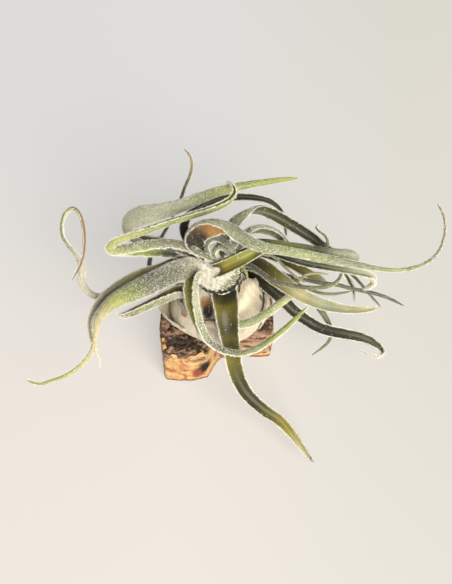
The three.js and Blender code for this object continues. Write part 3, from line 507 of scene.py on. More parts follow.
            (7, 47.5, 85, 4.3, 0), (15.5, 47, 84, 4, 0), (22.5, 45, 81, 3.6, 0),
            (27.5, 40.5, 76, 3, 10), (29.5, 34, 70, 2.4, 20), (30, 26, 63, 1.2, 20),
        ]),
    "leaf_right_fold": dict(
        roll=(75, 100), wool="light",
        inside="moss moss grey_green",
        back="moss moss leaf_green:0.3 moss:0.45 silver:0.6 ivory:0.75 silver:1",
        route=[
            (-2, 18, 83, 4, 170), (9.5, 24.5, 88, 4, 165), (18, 25, 90, 4, 175),
            (27.5, 23.9, 91, 4, 180), (37, 22.6, 90, 4, 180), (47, 20.8, 88, 4.4, 180),
            (55, 19.4, 86, 5.2, 180), (61.5, 19, 82.5, 5.4, 165), (65, 17.2, 77.5, 4.6, 130),
            (62.5, 14.5, 72, 3.8, 90), (59.6, 11, 66, 3.4, 60), (61.2, 7, 59, 3.2, 40),
            (63.2, 2.5, 53, 2.8, 20), (64, -1.5, 48, 2.2, 10), (64.2, -5, 45, 1.2, 10),
        ]),
    "leaf_left_low": dict(
        roll=(98, 104), wool="heavy middling:0.4 middling:0.8 dense",
        inside="umber moss:0.2 olive:0.4 olive",
        back="ivory ivory:0.35 sage:0.5 leaf_green:0.7 sage:0.85 ivory",
        route=[
            (-9, 2, 58, 6, 40), (-14, 1, 62, 7, 45), (-20, 0.5, 67, 8, 55), (-27, -1, 69, 8, 62),
            (-33, -3.7, 67, 7, 66), (-39, -6.5, 63, 6.2, 68), (-45, -9.3, 59, 5.8, 70),
            (-50, -11.3, 56, 5, 70), (-53, -11.5, 55, 3.4, 70), (-54.6, -10.5, 55.5, 1.2, 70),
        ]),
    "leaf_bulb_crossing": dict(
        roll=(80, 100), wool="heavy",
        inside="moss olive olive",
        back="grey_green leaf_green lime",
        route=[
            (-2, -8, 60, 3.5, 150), (0, -13.5, 64, 4.2, 150), (6.5, -16, 65, 4.8, 150),
            (13.5, -14.5, 66, 4.8, 150), (20, -10.8, 67, 4.6, 150), (26.5, -6, 66.5, 4.2, 150),
            (33, -1.5, 65.5, 3, 150), (38, 1.5, 64.5, 1.2, 150),
        ]),
    "leaf_ring": dict(
        roll=(70, 85), wool="dense heavy",
        inside="ivory grey_green sage ivory",
        back="moss moss",
        route=[
            (0, 19, 84, 4, 150), (3, 23, 87, 5.4, 130), (9, 28.2, 91, 6.8, 100), (15, 31, 93, 7.6, 76),
            (21.5, 30.6, 92, 7.6, 66), (27.5, 27.2, 88, 6.6, 66), (29.8, 22.6, 83, 4.4, 70),
            (26, 19.5, 79, 1.2, 90),
        ]),
    "leaf_right_strip": dict(
        roll=(75, 100), wool="middling",
        inside="umber moss:0.15 moss:0.55 sage:0.65 silver:0.75 ivory",
        back="sage ivory",
        route=[
            (-2, 16, 75, 3.6, 0), (6, 19, 77.5, 4, 0), (12, 20.6, 79.5, 4.4, 0),
            (24.5, 19.2, 80.3, 4.4, 0), (34, 16, 79.5, 4.2, 0), (42, 13.9, 78, 4.2, 0),
            (49.5, 12.6, 76, 4.2, 0), (61.5, 10.6, 73, 4, 0), (69, 9, 71, 4.4, -20),
            (73.6, 7, 68, 4.8, -50), (73.8, 4, 65, 4.6, -75), (70.5, 1.9, 63, 3.6, -90),
            (65, 1, 61, 1.2, -90),
        ]),
    "leaf_right_rear_curl": dict(
        roll=(95, 110), wool="middling",
        inside="moss grey_green",
        back="grey_green sage grey_green",
        route=[
            (-1, 17, 80, 3, 180), (18, 21, 84.4, 2.8, 180), (32, 20, 84.3, 2.5, 180),
            (43, 20, 83.5, 2.2, 180), (50, 22, 84, 2, 170), (50.8, 25, 85.5, 1.8, 150),
            (49.5, 28, 87, 1.6, 120), (46.5, 30.3, 87.5, 1.5, 100), (45, 32.3, 87.5, 1.4, 100),
            (46.2, 33.8, 87, 1.2, 100),
        ]),
    "leaf_right_olive": dict(
        roll=(60, 80), wool="light",
        inside="umber deep_olive deep_olive:0.5 olive:0.7 straw",
        back="grey_green",
        route=[
            (-2, 14, 62, 4, 0), (7, 18.5, 65, 4.8, 0), (18, 19.4, 66.5, 5.2, 0), (27, 16.8, 66, 5.6, 0),
            (34, 13.4, 65, 5.6, 0), (40, 9.9, 63, 5.4, 0), (46, 6.8, 60.5, 4.6, 0),
            (52.5, 3.8, 57.5, 1.2, 0),
        ]),
    "leaf_right_hook": dict(
        roll=(95, 110), wool="middling",
        inside="moss grey_green",
        back="moss deep_olive leaf_green",
        route=[
            (-1, 12.5, 73, 3, 180), (4, 13.5, 76, 3, 180), (10, 13.7, 79, 3, 180),
            (15, 11.5, 81.5, 3, 180), (20.5, 7.5, 83, 2.8, 175), (26.5, 4.5, 82.5, 2.6, 170),
            (34, 3, 81, 2.5, 165), (42, 2.2, 80, 2.4, 160), (50, 2.6, 78.5, 2.4, 150),
            (55.6, 5.4, 75, 2.3, 120), (57.7, 9.6, 69.5, 2, 100), (56.2, 13.4, 65, 1.2, 90),
        ]),
    "leaf_right_slender": dict(
        roll=(90, 105), wool="middling",
        inside="moss moss",
        back="moss moss",
        route=[
            (-2, 13, 63, 2.4, 180), (9, 15, 65, 2.4, 180), (21, 12.6, 66, 2.4, 180),
            (29, 8.8, 66.5, 2.4, 180), (34, 7.2, 67, 2.4, 180), (40, 6, 67.6, 2.3, 180),
            (48, 4.4, 67, 2.4, 180), (56, 3.5, 65.5, 2.4, 180), (62, 1.9, 64, 2.4, 180),
            (67.5, 0.7, 62, 2.4, 180), (73.5, -0.6, 60, 2.3, 180), (79, -2.2, 58, 2.1, 170),
            (85, -4.8, 56, 1.7, 160), (89, -7, 55, 1.2, 160),
        ]),
    "leaf_right_inner": dict(
        roll=(90, 110), wool="middling",
        inside="moss moss",
        back="leaf_green grey_green",
        route=[
            (0, 11, 59, 2, 180), (9, 14, 61, 2, 180), (24.5, 9, 61, 2, 180), (37, 3.5, 62, 1.8, 180),
            (45.5, 0, 62.5, 1.8, 180), (52, -1, 62, 1.8, 180), (58, -0.5, 61, 1.5, 180),
            (63, 0.5, 60, 1.2, 180),
        ]),
    "leaf_right_drooping": dict(
        roll=(90, 110), wool="middling",
        inside="moss moss",
        back="grey_green moss grey_green",
        route=[
            (-2, 17, 70, 2.4, 180), (10, 21, 73, 2.4, 180), (27, 18, 70.5, 2.4, 180),
            (44.5, 15, 66, 2.2, 180), (56, 12.5, 60, 2.1, 180), (62, 9.5, 56, 2, 180),
            (67.5, 4, 52, 1.8, 180), (72.5, -2, 48, 1.6, 180), (78, -8, 44, 1.2, 180),
        ]),
    "leaf_right_hanging": dict(
        roll=(85, 110), wool="light",
        inside="umber moss",
        back="moss moss grey_green sage",
        route=[
            (-2, 9, 57, 3, 180), (7, 13, 58, 3, 180), (21, 10, 57, 3, 180), (33, 5, 54.5, 3.2, 180),
            (42, -3, 50, 3.4, 180), (48, -10, 43, 3.6, 180), (51.5, -16, 35, 3, 170),
            (52.5, -20.5, 27, 2.4, 160), (51.5, -24.5, 22, 2, 150), (48, -28, 19, 1.6, 140),
            (43, -31.5, 17, 1.2, 140),
        ]),
    "leaf_right_tendril": dict(
        roll=(100, 110), wool="middling",
        inside="moss grey_green",
        back="grey_green sage",
        route=[
            (1, 19, 84, 1.8, 180), (6, 22.5, 88, 1.8, 180), (12, 22.8, 92.5, 1.7, 180),
            (19, 20.5, 93, 1.6, 180), (25, 16.8, 91.5, 1.5, 180), (29, 12.8, 90, 1.4, 180),
            (33.5, 8.8, 88, 1.3, 180), (39.5, 4.5, 85, 1.2, 180),
        ]),
    "leaf_right_russet": dict(
        roll=(100, 110), wool="light",
        inside="sage sage",
        back="sage leaf_green sage straw",
        route=[
            (-2, 14, 67, 1.8, 180), (9, 15.5, 69, 1.8, 180), (24, 10, 69.8, 1.8, 180),
            (32, 5.8, 70.4, 1.7, 180), (36.4, 5.6, 72, 1.7, 180), (39.5, 8.4, 73, 1.7, 180),
            (43.5, 9.3, 73, 1.6, 180), (48, 9.2, 72, 1.5, 180), (51.5, 8.8, 71.5, 1.2, 180),
        ]),
    "leaf_centre_hook": dict(
        roll=(90, 110), wool="light",
        inside="leaf_green leaf_green",
        back="lime lime leaf_green",
        route=[
            (4, 12.5, 74, 2.2, 180), (7.5, 12.5, 78.5, 2.3, 180), (10, 9.8, 79.5, 2.2, 180),
            (11, 6.5, 77, 1.2, 180),
        ]),
    "leaf_heart_upper": dict(
        roll=(60, 80), wool="heavy",
        inside="umber grey_green",
        back="moss moss grey_green",
        route=[
            (-8, 17.5, 80, 3.4, 120), (-9.8, 23.5, 87, 3.8, 120), (-6, 26.8, 89.5, 4, 130),
            (-1, 25.5, 90, 3.8, 150), (3, 21.5, 88.5, 3.2, 160), (6, 17.3, 86, 1.2, 160),
        ]),
    "leaf_heart_lower": dict(
        roll=(60, 80), wool="heavy",
        inside="umber grey_green",
        back="sage sage",
        route=[
            (-5, 15, 79, 2.8, 120), (-6, 19.8, 84.5, 3, 120), (-3, 22.3, 86.5, 3.2, 130),
            (0.8, 20.5, 86.3, 2.8, 150), (3.6, 17.2, 84.8, 1.2, 160),
        ]),
}


def blended(names, share, meanings):
    """The values on the way through the named ones, at shares from 0 to 1. A name may carry its share."""
    words = [word.split(":") for word in names.split()]
    steps = max(len(words) - 1, 1)
    stops = np.array([meanings[word[0]] for word in words])
    places = [float(word[1]) if len(word) > 1 else k / steps for k, word in enumerate(words)]
    return np.stack([np.interp(share, places, column) for column in stops.T], axis=-1)


def ramp(value, start, full):
    """0 up to the start, 1 from the full value on, and even between them."""
    return np.clip((value - start) / (full - start), 0, 1)


def unit(vectors):
    """The vectors, each made one long."""
    return vectors / np.maximum(np.linalg.norm(vectors, axis=-1, keepdims=True), 1e-9)


def sighted(across, up, height):
    """The point of the eye's sight line through (across, up) that lies at a height."""
    sine, cosine = math.sin(EYE_ELEVATION), math.cos(EYE_ELEVATION)
    eye = EYE_AIM + EYE_DISTANCE * TOWARD_EYE
    seen = EYE_AIM + np.array([across, up * sine, up * cosine])
    return eye + (seen - eye) * (eye[2] - height) / (eye[2] - seen[2])


def along(rows, i, s):
    """The smooth curve through rows of values, at s from 0 to 1 between rows i and i + 1."""
    a, b, c, d = (rows[min(max(k, 0), len(rows) - 1)] for k in (i - 1, i, i + 1, i + 2))
    before, here, after = (
        math.sqrt(np.linalg.norm(p[:3] - q[:3])) or 1 for p, q in ((a, b), (b, c), (c, d)))
    leave = ((b - a) / before - (c - a) / (before + here) + (c - b) / here) * here
    arrive = ((c - b) / here - (d - b) / (here + after) + (d - c) / after) * here
    square, cube = s * s, s * s * s
    return (b * (2 * cube - 3 * square + 1) + leave * (cube - 2 * square + s)
            + c * (3 * square - 2 * cube) + arrive * (cube - square))


def leaf_course(leaf):
    """A leaf's centre line in even steps: points, widths, turns, directions and lengths so far."""
    rows = [np.array([*sighted(across, up, height), width, turn])
            for across, up, height, width, turn in leaf["route"]]
    fine = [along(rows, i, k / ROUTE_STEPS) for i in range(len(rows) - 1) for k in range(ROUTE_STEPS)]
    fine = np.array([*fine, rows[-1]])
    lengths = np.concatenate([[0], np.cumsum(np.linalg.norm(np.diff(fine[:, :3], axis=0), axis=1))])
    places = np.linspace(0, lengths[-1], max(FEWEST_RINGS, round(lengths[-1] / RING_EVERY)))
    even = np.stack([np.interp(places, lengths, fine[:, k]) for k in range(5)], axis=1)
    directions = unit(np.gradient(even[:, :3], axis=0))
    return even[:, :3], even[:, 3], even[:, 4], directions, places


def wave(lengths, rng, *spans):
    """A gentle seeded unevenness between -1 and 1 along a leaf."""
    waves = [np.sin(lengths * 2 * math.pi / span + rng.uniform(0, WAVE_START)) for span in spans]
    return sum(waves) / len(spans)


def painted(mesh, layers):
    """Puts named values at a mesh's points: one number, a place or a colour for each."""
    forms = {1: ("FLOAT", "value"), 3: ("FLOAT_VECTOR", "vector"), 4: ("FLOAT_COLOR", "color")}
    for layer, values in layers.items():
        form, field = forms[1 if values.ndim == 1 else values.shape[1]]
        attribute = mesh.attributes.new(layer, form, "POINT")
        attribute.data.foreach_set(field, values.astype(np.float32).ravel())


def shown(name, mesh):
    """The object that shows a mesh."""
    made = bpy.data.objects.new(name, mesh)
    bpy.context.scene.collection.objects.link(made)
    return made


def built(name, points, faces, skins, layers=None, skin_of=None):
    """A smooth-shaded mesh object from points in millimetres. layers are values at its points."""
    mesh = bpy.data.meshes.new(name)
    sides = faces.shape[1]
    mesh.vertices.add(len(points))
    mesh.vertices.foreach_set("co", (points * METRE).astype(np.float32).ravel())
    mesh.loops.add(faces.size)
    mesh.loops.foreach_set("vertex_index", faces.astype(np.int32).ravel())
    mesh.polygons.add(len(faces))
    mesh.polygons.foreach_set("loop_start", np.arange(0, faces.size, sides, dtype=np.int32))
    mesh.update(calc_edges=True)
    mesh.polygons.foreach_set("use_smooth", np.ones(len(faces), dtype=bool))
    for skin in skins:
        mesh.materials.append(skin)
    if skin_of is not None:
        mesh.polygons.foreach_set("material_index", skin_of.astype(np.int32))
    painted(mesh, layers or {})
    return shown(name, mesh)


def ring_quads(rows, size):
    """The faces between rows of closed rings, and where each face is."""
    i, k = np.meshgrid(np.arange(rows - 1), np.arange(size), indexing="ij")
    a, b = i * size + k, i * size + (k + 1) % size
    return np.stack([a, b, b + size, a + size], axis=-1).reshape(-1, 4), k.ravel()


def shell(name, back, inside, skins, layers):
    """A closed blade or sheath from its back and inside grids. layers are pairs of grids of values."""
    rows, arc = back.shape[:2]
    size = 2 * arc
    rings = np.concatenate([back, inside[:, ::-1]], axis=1).reshape(-1, 3)
    quads, place = ring_quads(rows, size)
    step = np.arange(arc - 1)
    ends = np.stack([step, size - 1 - step, size - 2 - step, step + 1], axis=-1)
    faces = np.concatenate([quads, ends, (rows - 1) * size + ends[:, ::-1]])
    on_inside = (place >= arc) & (place < size - 1)
    skin_of = np.concatenate([on_inside, np.zeros(2 * (arc - 1), dtype=bool)])
    ringed = {}
    for layer, (outer, inner) in layers.items():
        joined = np.concatenate([outer, inner[:, ::-1]], axis=1)
        ringed[layer] = joined.reshape(-1) if joined.ndim == 2 else joined.reshape(-1, joined.shape[-1])
    return built(name, rings, faces, skins, ringed, skin_of)


def capped(name, rings, bottom, top, skin, layers):
    """A body of stacked rings, closed by fans of faces to its bottom and its top point."""
    rows, size = rings.shape[:2]
    points = np.concatenate([rings.reshape(-1, 3), [bottom, top]])
    faces = ring_quads(rows, size)[0].tolist()
    low, high = rows * size, (rows - 1) * size
    for k in range(size):
        following = (k + 1) % size
        faces.append([low, following, k])
        faces.append([high + k, high + following, low + 1])
    mesh = bpy.data.meshes.new(name)
    mesh.from_pydata((points * METRE).tolist(), [], faces)
    mesh.polygons.foreach_set("use_smooth", np.ones(len(faces), dtype=bool))
    mesh.materials.append(skin)
    painted(mesh, layers)
    return shown(name, mesh)


def hairs(name, sets, rng):
    """Fine three-cornered hairs and scales. Each set holds roots, leans, lengths and widths."""
    roots, leans, lengths, widths = (np.concatenate(parts) for parts in zip(*sets))
    leans = unit(leans)
    half = unit(np.cross(leans, rng.normal(size=roots.shape))) * widths[:, None] / 2
    points = np.stack([roots - half, roots + half, roots + leans * lengths[:, None]], axis=1)
    faces = np.arange(len(roots) * 3).reshape(-1, 3)
    return built(name, points.reshape(-1, 3), faces, [WOOL_SKIN])


def scales(grid, outward, per_mm, size, rng):
    """Scales strewn over a grid of points. outward is the grid's normals, per_mm their density."""
    corner = grid[:-1, :-1]
    down = grid[1:, :-1] - corner
    over = grid[:-1, 1:] - corner
    area = np.linalg.norm(np.cross(over, down), axis=-1)
    count = rng.poisson((area * per_mm[:-1, :-1]).ravel())
    rows, columns = np.unravel_index(np.repeat(np.arange(count.size), count), area.shape)
    s, t = rng.random((2, len(rows), 1))
    roots = corner[rows, columns] + down[rows, columns] * s + over[rows, columns] * t
    onward = SCALES_LEAN * unit(down[rows, columns])
    leans = outward[rows, columns] + onward + SCALES_STRAY * rng.normal(size=roots.shape)
    return roots, leans, size * rng.uniform(*SCALES_VARY, len(rows)), np.full(len(rows), SCALE_WIDTH)


def fringe(line, outward, per_mm, size, rng):
    """The hairs along one margin of a blade."""
    step = line[1:] - line[:-1]
    count = rng.poisson(np.linalg.norm(step, axis=1) * per_mm[:-1])
    cell = np.repeat(np.arange(len(step)), count)
    roots = line[cell] + step[cell] * rng.random((len(cell), 1))
    onward = FRINGE_LEANS * unit(step[cell])
    leans = outward[cell] + onward + FRINGE_STRAYS * rng.normal(size=roots.shape)
    return roots, leans, size * rng.uniform(*FRINGE_VARIES, len(roots)), np.full(len(roots), SCALE_WIDTH)


def leaf_form(leaf, rng):
    """A leaf's blade as grids over its length and its arc, and the values that it is dressed by."""
    points, widths, turns, directions, lengths = leaf_course(leaf)
    share = lengths / lengths[-1]
    facing = unit(TOWARD_EYE - directions * (directions @ TOWARD_EYE)[:, None])
    turn = np.radians(turns)[:, None]
    opening = facing * np.cos(turn) + np.cross(directions, facing) * np.sin(turn)
    across = np.cross(directions, opening)
    near_tip = ramp(lengths, lengths[-1], lengths[-1] - POINT_LENGTH)
    widths = np.maximum(widths * (POINT_SHARE + (1 - POINT_SHARE) * near_tip ** POINT_CURVE), POINT_WIDTH)
    narrow = ramp(widths, ROLL_NARROW, LEAF_TIP)
    roll = leaf["roll"][0] + (leaf["roll"][1] - leaf["roll"][0]) * share
    half = np.radians(roll + (TIP_ROLL - roll) * narrow)
    radius = widths / 2 / np.sin(np.minimum(half, RIGHT_ANGLE))
    wall = np.minimum(LEAF_WALL, radius * WALL_SHARE)
    drop = np.where(half < RIGHT_ANGLE, radius * (1 + np.cos(half)) / 2, radius * 0.5)
    centre = points + opening * (drop - radius * MIDRIB_SHARE)[:, None]

    side = np.sin(np.linspace(-RIGHT_ANGLE, RIGHT_ANGLE, ARC_POINTS))
    left, right = wave(lengths, rng, *LEFT_WAVES), wave(lengths, rng, *RIGHT_WAVES)
    ripple = np.where(side < 0, left[:, None], right[:, None]) * np.abs(side)
    angle = side * half[:, None] * (1 + RIPPLE_ROLL * ripple)
    thick = wall[:, None] * (MARGIN_SHARE + (1 - MARGIN_SHARE) * (1 - np.abs(side) ** 3))
    middle = (radius - wall / 2)[:, None] * (1 + RIPPLE_DEPTH * ripple)
    outward = unit(np.sin(angle)[..., None] * across[:, None] - np.cos(angle)[..., None] * opening[:, None])
    hollow = np.maximum(middle - thick / 2, radius[:, None] * HOLLOW_SHARE)
    return dict(
        back=centre[:, None] + outward * (middle + thick / 2)[..., None],
        inside=centre[:, None] + outward * hollow[..., None],
        outward=outward, arc=angle * radius[:, None], side=side, lengths=lengths, widths=widths)


def leaf_blade(name, leaf, seed):
    """A leaf and its wool."""
    rng = np.random.default_rng(seed)
    form = leaf_form(leaf, rng)
    back, inside, outward, side = form["back"], form["inside"], form["outward"], form["side"]
    lengths = form["lengths"]
    share = lengths / lengths[-1]
    flat = np.zeros(form["arc"].shape)
    scurf, back_wool, inside_wool, margin_wool = blended(leaf["wool"], share, WOOL).T
    sway = 1 + SCURF_SWAY * wave(lengths, rng, *SCURF_WAVES)
    uneven = (MIDDLE_SCURF + MARGIN_SCURF * side * side) * sway[:, None]
    edge = np.abs(side) ** MARGIN_LINE + flat
    # Painted shade down the middle of the channel and painted light towards its margins.
    channel = CHANNEL_PAINTED_SHADE + (CHANNEL_PAINTED_LIGHT - CHANNEL_PAINTED_SHADE) * np.abs(side) ** CHANNEL_CURVE
    tints = {face: blended(leaf[face], share, TINTS)[:, None] for face in ("back", "inside")}
    place = np.stack([lengths[:, None] + flat, form["arc"], flat + seed * LEAF_PATTERN], axis=-1)
    made = shell(name, back, inside, [LEAF_BACK, LEAF_INSIDE], {
        "blade": (place, place + LEAF_INSIDE_PATTERN),
        "tint": (tints["back"] + flat[..., None], tints["inside"] * channel[:, None]),
        "scurf": (scurf[:, None] * uneven, flat + scurf[:, None] * INSIDE_SCURF),
        "edge": (edge, edge),
    })
    slim = float(np.clip(np.median(form["widths"]) / FULL_SCALE_WIDTH, SHORTEST_SCALE, 1))
    margin = (back + inside) / 2
    wool = hairs(name.replace("leaf_", "wool_"), [
        scales(back, outward, back_wool[:, None] + flat, SCALE_LENGTH * slim, rng),
        scales(inside, -outward, inside_wool[:, None] + flat, SCALE_LENGTH * slim, rng),
        fringe(margin[:, 0], unit(margin[:, 0] - margin[:, 2]), margin_wool, FRINGE_LENGTH * slim, rng),
        fringe(margin[:, -1], unit(margin[:, -1] - margin[:, -3]), margin_wool, FRINGE_LENGTH * slim, rng),
    ], rng)
    return made, wool


def bulb_surface(height, azimuth, lift):
    """Points of the bulb's side, and the way out from it, for arrays of heights and azimuths."""
    stations = np.array(BULB_STATIONS)
    heights = np.linspace(stations[0, 0], stations[-1, 0], BULB_SAMPLES)

    even = np.ones(BULB_SMOOTHING) / BULB_SMOOTHING

    def smoothed(column):
        rough = np.interp(heights, stations[:, 0], stations[:, column])
        rough = np.pad(rough, BULB_SMOOTHING // 2, mode="edge")
        return np.interp(height, heights, np.convolve(rough, even, "valid"))

    x, y, wide, deep = (smoothed(column) for column in (1, 2, 3, 4))
    out = np.stack([np.cos(azimuth), np.sin(azimuth), np.zeros_like(azimuth)], axis=-1)
    point = np.stack([x + (wide + lift) * out[..., 0], y + (deep + lift) * out[..., 1], height], axis=-1)
    return point, out


def bowed(values, share):
    """A smooth line through evenly spaced values, at shares from 0 to 1."""
    known = np.array([2 * values[0] - values[1], *values, 2 * values[-1] - values[-2]])
    spots = np.clip(share, 0, 1) * (len(values) - 1)
    first = np.minimum(spots.astype(int), len(values) - 2)
    a, b, c, d = (known[first + k] for k in range(4))
    t = spots - first
    return b + 0.5 * t * (c - a + t * (2 * a - 5 * b + 4 * c - d + t * (3 * (b - c) + d - a)))


def with_stains_and_painted_shade(points, tint, scurf):
    """The tint and the scurf of a surface, with the stains and the painted shade that lie near its points.
    """
    fade = 3.5
    for colour, centre, (wide, tall), strength in STAINS_AND_PAINTED_SHADE:
        gap = np.linalg.norm((points - centre) / [wide, wide, tall], axis=-1)
        near = strength * np.clip(fade - fade * gap, 0, 1)
        tint = tint * (1 - near[..., None]) + near[..., None] * np.array(TINTS[colour])
        scurf = scurf * (1 - near)
    return tint, scurf


def bulb_body():
    """The swollen pseudobulb, faintly fluted, with the heart's felt at its top."""
    rng = np.random.default_rng(BULB_SEED)
    low, high = BULB_STATIONS[0][0], BULB_STATIONS[-1][0]
    height, azimuth = np.meshgrid(
        np.linspace(low, high, BULB_ROWS), np.linspace(0, 2 * math.pi, BULB_COLUMNS + 1), indexing="ij")
    flutes = sum(
        depth * np.sin(azimuth * count + height * lean + start) for count, lean, start, depth in FLUTES)
    grid, out = bulb_surface(height, azimuth, flutes * ramp(height, low, low + FLUTES_RISE))
    points = np.concatenate([grid[:, :-1].reshape(-1, 3), [BULB_FOOT, BULB_TOP]])
    felted = ramp(points[:, 2], FELT_FROM, FELT_FROM + FELT_RISE)
    scurf = BULB_SCURF + HEART_SCURF * felted
    tint, scurf = with_stains_and_painted_shade(points, blended("cream felt_white", felted, TINTS), scurf)
    around = np.append(azimuth[:, :-1].ravel(), [0, 0]) * SHEATH_RADIUS
    body = capped("bulb_visual", grid[:, :-1], BULB_FOOT, BULB_TOP, SHEATH_SKIN, {
        "blade": np.stack([points[:, 2], around, points[:, 2] * 0], axis=-1),
        "tint": tint, "scurf": scurf, "edge": felted * 0})
    density = BULB_SCALES + HEART_SCALES * ramp(height, FELT_FROM + 1, FELT_FROM + 1 + FELT_RISE)
    return body, hairs("wool_bulb", [scales(grid, out, density, HEART_SCALE_LENGTH, rng)], rng)


def sheath_shell(name, sheath, seed):
    """A dry papery sheath with a wavy rim, or the woolly collar."""
    rng = np.random.default_rng(seed)
    woolly = name.startswith("sheath_collar")
    kind = WOOLLY if woolly else DRY
    first, last = (math.radians(side) for side in sheath["azimuth"])
    rows = max(FEWEST_SHEATH_ROWS, round((last - first) * SHEATH_ROWS_PER_RADIAN))
    share = np.linspace(0, 1, rows)
    up = np.linspace(0, 1, SHEATH_COLUMNS)
    arc = share * (last - first) * SHEATH_RADIUS
    foot = bowed(sheath["foot"], share)
    rim = bowed(sheath["rim"], share) + RIM_SWAY * wave(arc, rng, *RIM_WAVES)
    height = foot[:, None] + (rim - foot)[:, None] * up
    azimuth = np.broadcast_to((first + (last - first) * share)[:, None], height.shape)
    lift = bowed(sheath["lift"], up) * bowed(sheath["flare"], share)[:, None]
    lift = lift + LIFT_SWAY * wave(arc, rng, *LIFT_WAVES)[:, None] * up
    if woolly:
        first_fold, second_fold = (
            np.sin(arc[:, None] * turns + height * rise) for turns, rise in zip(FOLDS_ROUND, FOLDS_UP))
        lift = lift + FOLD_DEPTH * first_fold * second_fold
    thick = kind["wall"] * (1 - THINNING * up ** 3)
    back, outward = bulb_surface(height, azimuth, lift + thick)
    inside = bulb_surface(height, azimuth, lift)[0]
    end = np.clip(np.minimum(share, 1 - share)[:, None] * rows / END_ROWS, 0, 1)
    edge = np.maximum(up ** RIM_LINE, 1 - end)

    flat = np.zeros(height.shape)
    green = flat
    grown = flat + 1
    # On the collar: a painted-shade foot where the felt is thin, and a grey-green lower right, partly the
    # leaf base's green and partly painted shade.
    if woolly:
        green = ramp(share[:, None], *GREEN_ROUND) * ramp(up, *GREEN_UP) * ramp(up, *GREEN_GONE)
        grown = flat + ramp(up, *FELT_UP)
    tint = blended(kind["outside"], up, TINTS) * (1 - green)[..., None]
    tint = tint + green[..., None] * np.array(TINTS["grey_green"])
    depths = tint if woolly else blended(kind["inside"], up, TINTS) + 0 * tint
    scurf = kind["scurf"] * (1 - SCURF_LOST * green) * grown
    outer, inner = with_stains_and_painted_shade(back, tint, scurf), with_stains_and_painted_shade(inside, depths, scurf)
    place = np.stack([height, azimuth * SHEATH_RADIUS, flat + seed * SHEATH_PATTERN], axis=-1)
    skin = FELT_SKIN if woolly else SHEATH_SKIN
    made = shell(name, back, inside, [skin, skin], {
        "blade": (place, place + SHEATH_INSIDE_PATTERN),
        "tint": (outer[0], inner[0]),
        "scurf": (outer[1], inner[1]),
        "edge": (edge, edge),
    })
    _, back_wool, inside_wool, rim_wool = WOOL[kind["wool"]]
    rim_line = (back[:, -1] + inside[:, -1]) / 2
    wool = hairs(name.replace("sheath_", "wool_sheath_"), [
        scales(back, outward, back_wool * (1 - SCALES_LOST * green) * grown, kind["scale"], rng),
        scales(inside, -outward, flat + inside_wool, kind["scale"], rng),
        fringe(rim_line, unit(rim_line - back[:, -3]), np.full(rows, rim_wool), kind["scale"], rng),
    ], rng)
    return made, wool


def relief(spot, layers):
    """Noise at a spot, in layers of finer lumps."""
    return sum(depth * noise.noise(spot * finer) for finer, depth in layers)


def cork_outline():
    """The cork's outline in finer steps, with its corners worn off."""
    corners = np.array(CORK_OUTLINE, dtype=float)
    following = np.roll(corners, -1, axis=0)
    s = (np.arange(CORK_STEPS) / CORK_STEPS)[None, :, None]
    outline = (corners[:, None] * (1 - s) + following[:, None] * s).reshape(-1, 2)
    worn = (np.roll(outline, 1, axis=0) + 2 * outline + np.roll(outline, -1, axis=0)) / 4
    return (np.roll(worn, 2, axis=0) + worn + np.roll(worn, -2, axis=0)) / 3


def cork_side(x, y, level):
    """How far the cork's side stands out at a place: lumps, hollows, the worn top edge and the pit."""
    push = relief(Vector((x * LUMP, y * LUMP, level * LUMP)), SIDE_RELIEF)
    flat, tall = HOLLOW_REPEATS
    hollow = noise.noise(Vector((x * flat + HOLLOW_START, y * flat, level * tall)))
    push -= HOLLOW_DEPTH * max(0.0, hollow - HOLLOW_FROM)
    push -= EDGE_WEAR * (level / CORK_HEIGHT) ** WEAR_CURVE
    gap = (x - CORK_PIT[0]) ** 2 + (y - CORK_PIT[1]) ** 2 + (level - CORK_PIT[2]) ** 2
    return push - PIT_DEPTH * math.exp(-gap / PIT_RADIUS ** 2)


def bark_ridge(x, y):
    """How far the bark on the cork's top rises at a place, with its cracks."""
    spot = Vector((x * BARK_RIDGE[0], y * BARK_RIDGE[1], BARK_START))
    crack = abs(noise.noise(spot * CRACKS_FINER + Vector(CRACK_START)))
    return relief(spot, BARK_RELIEF) - CRACK_DEPTH * max(0.0, CRACK_WIDTH - crack) / CRACK_WIDTH


def cork_chunk():
    """The cork: sawn and broken sides, and the bark's rough top."""
    outline = cork_outline()
    out = unit(outline - CORK_SEAT)
    from_seat = np.linalg.norm(outline - CORK_SEAT, axis=1)
    rings = []
    inward = []
    for level in np.linspace(0, SIDE_TOP, CORK_LEVELS):
        push = np.array([cork_side(x, y, level) for x, y in outline])[:, None]
        rings.append(np.column_stack([outline + out * push, np.full(len(outline), level)]))
        inward.append(np.full(len(outline), level - SIDE_TOP))
    for share in np.linspace(*TOP_RINGS, CORK_RINGS):
        rise = min(1.0, (1 - share) * RISE_RATE + RISE_START)
        ring = CORK_SEAT + (outline - CORK_SEAT) * share
        rings.append([(x, y, BARK_LEVEL + bark_ridge(x, y) * rise) for x, y in ring])
        inward.append(from_seat * (1 - share))
    foot, top = (0, 0, 0), (*CORK_SEAT, BARK_LEVEL)
    inward = np.append(np.concatenate(inward), [-SIDE_TOP, INNERMOST])
    return capped("cork_visual", np.array(rings), foot, top, CORK_SKIN, {"inward": inward})


MIX_FACTOR, MIX_A, MIX_B, MIX_OUT = 0, 6, 7, 2


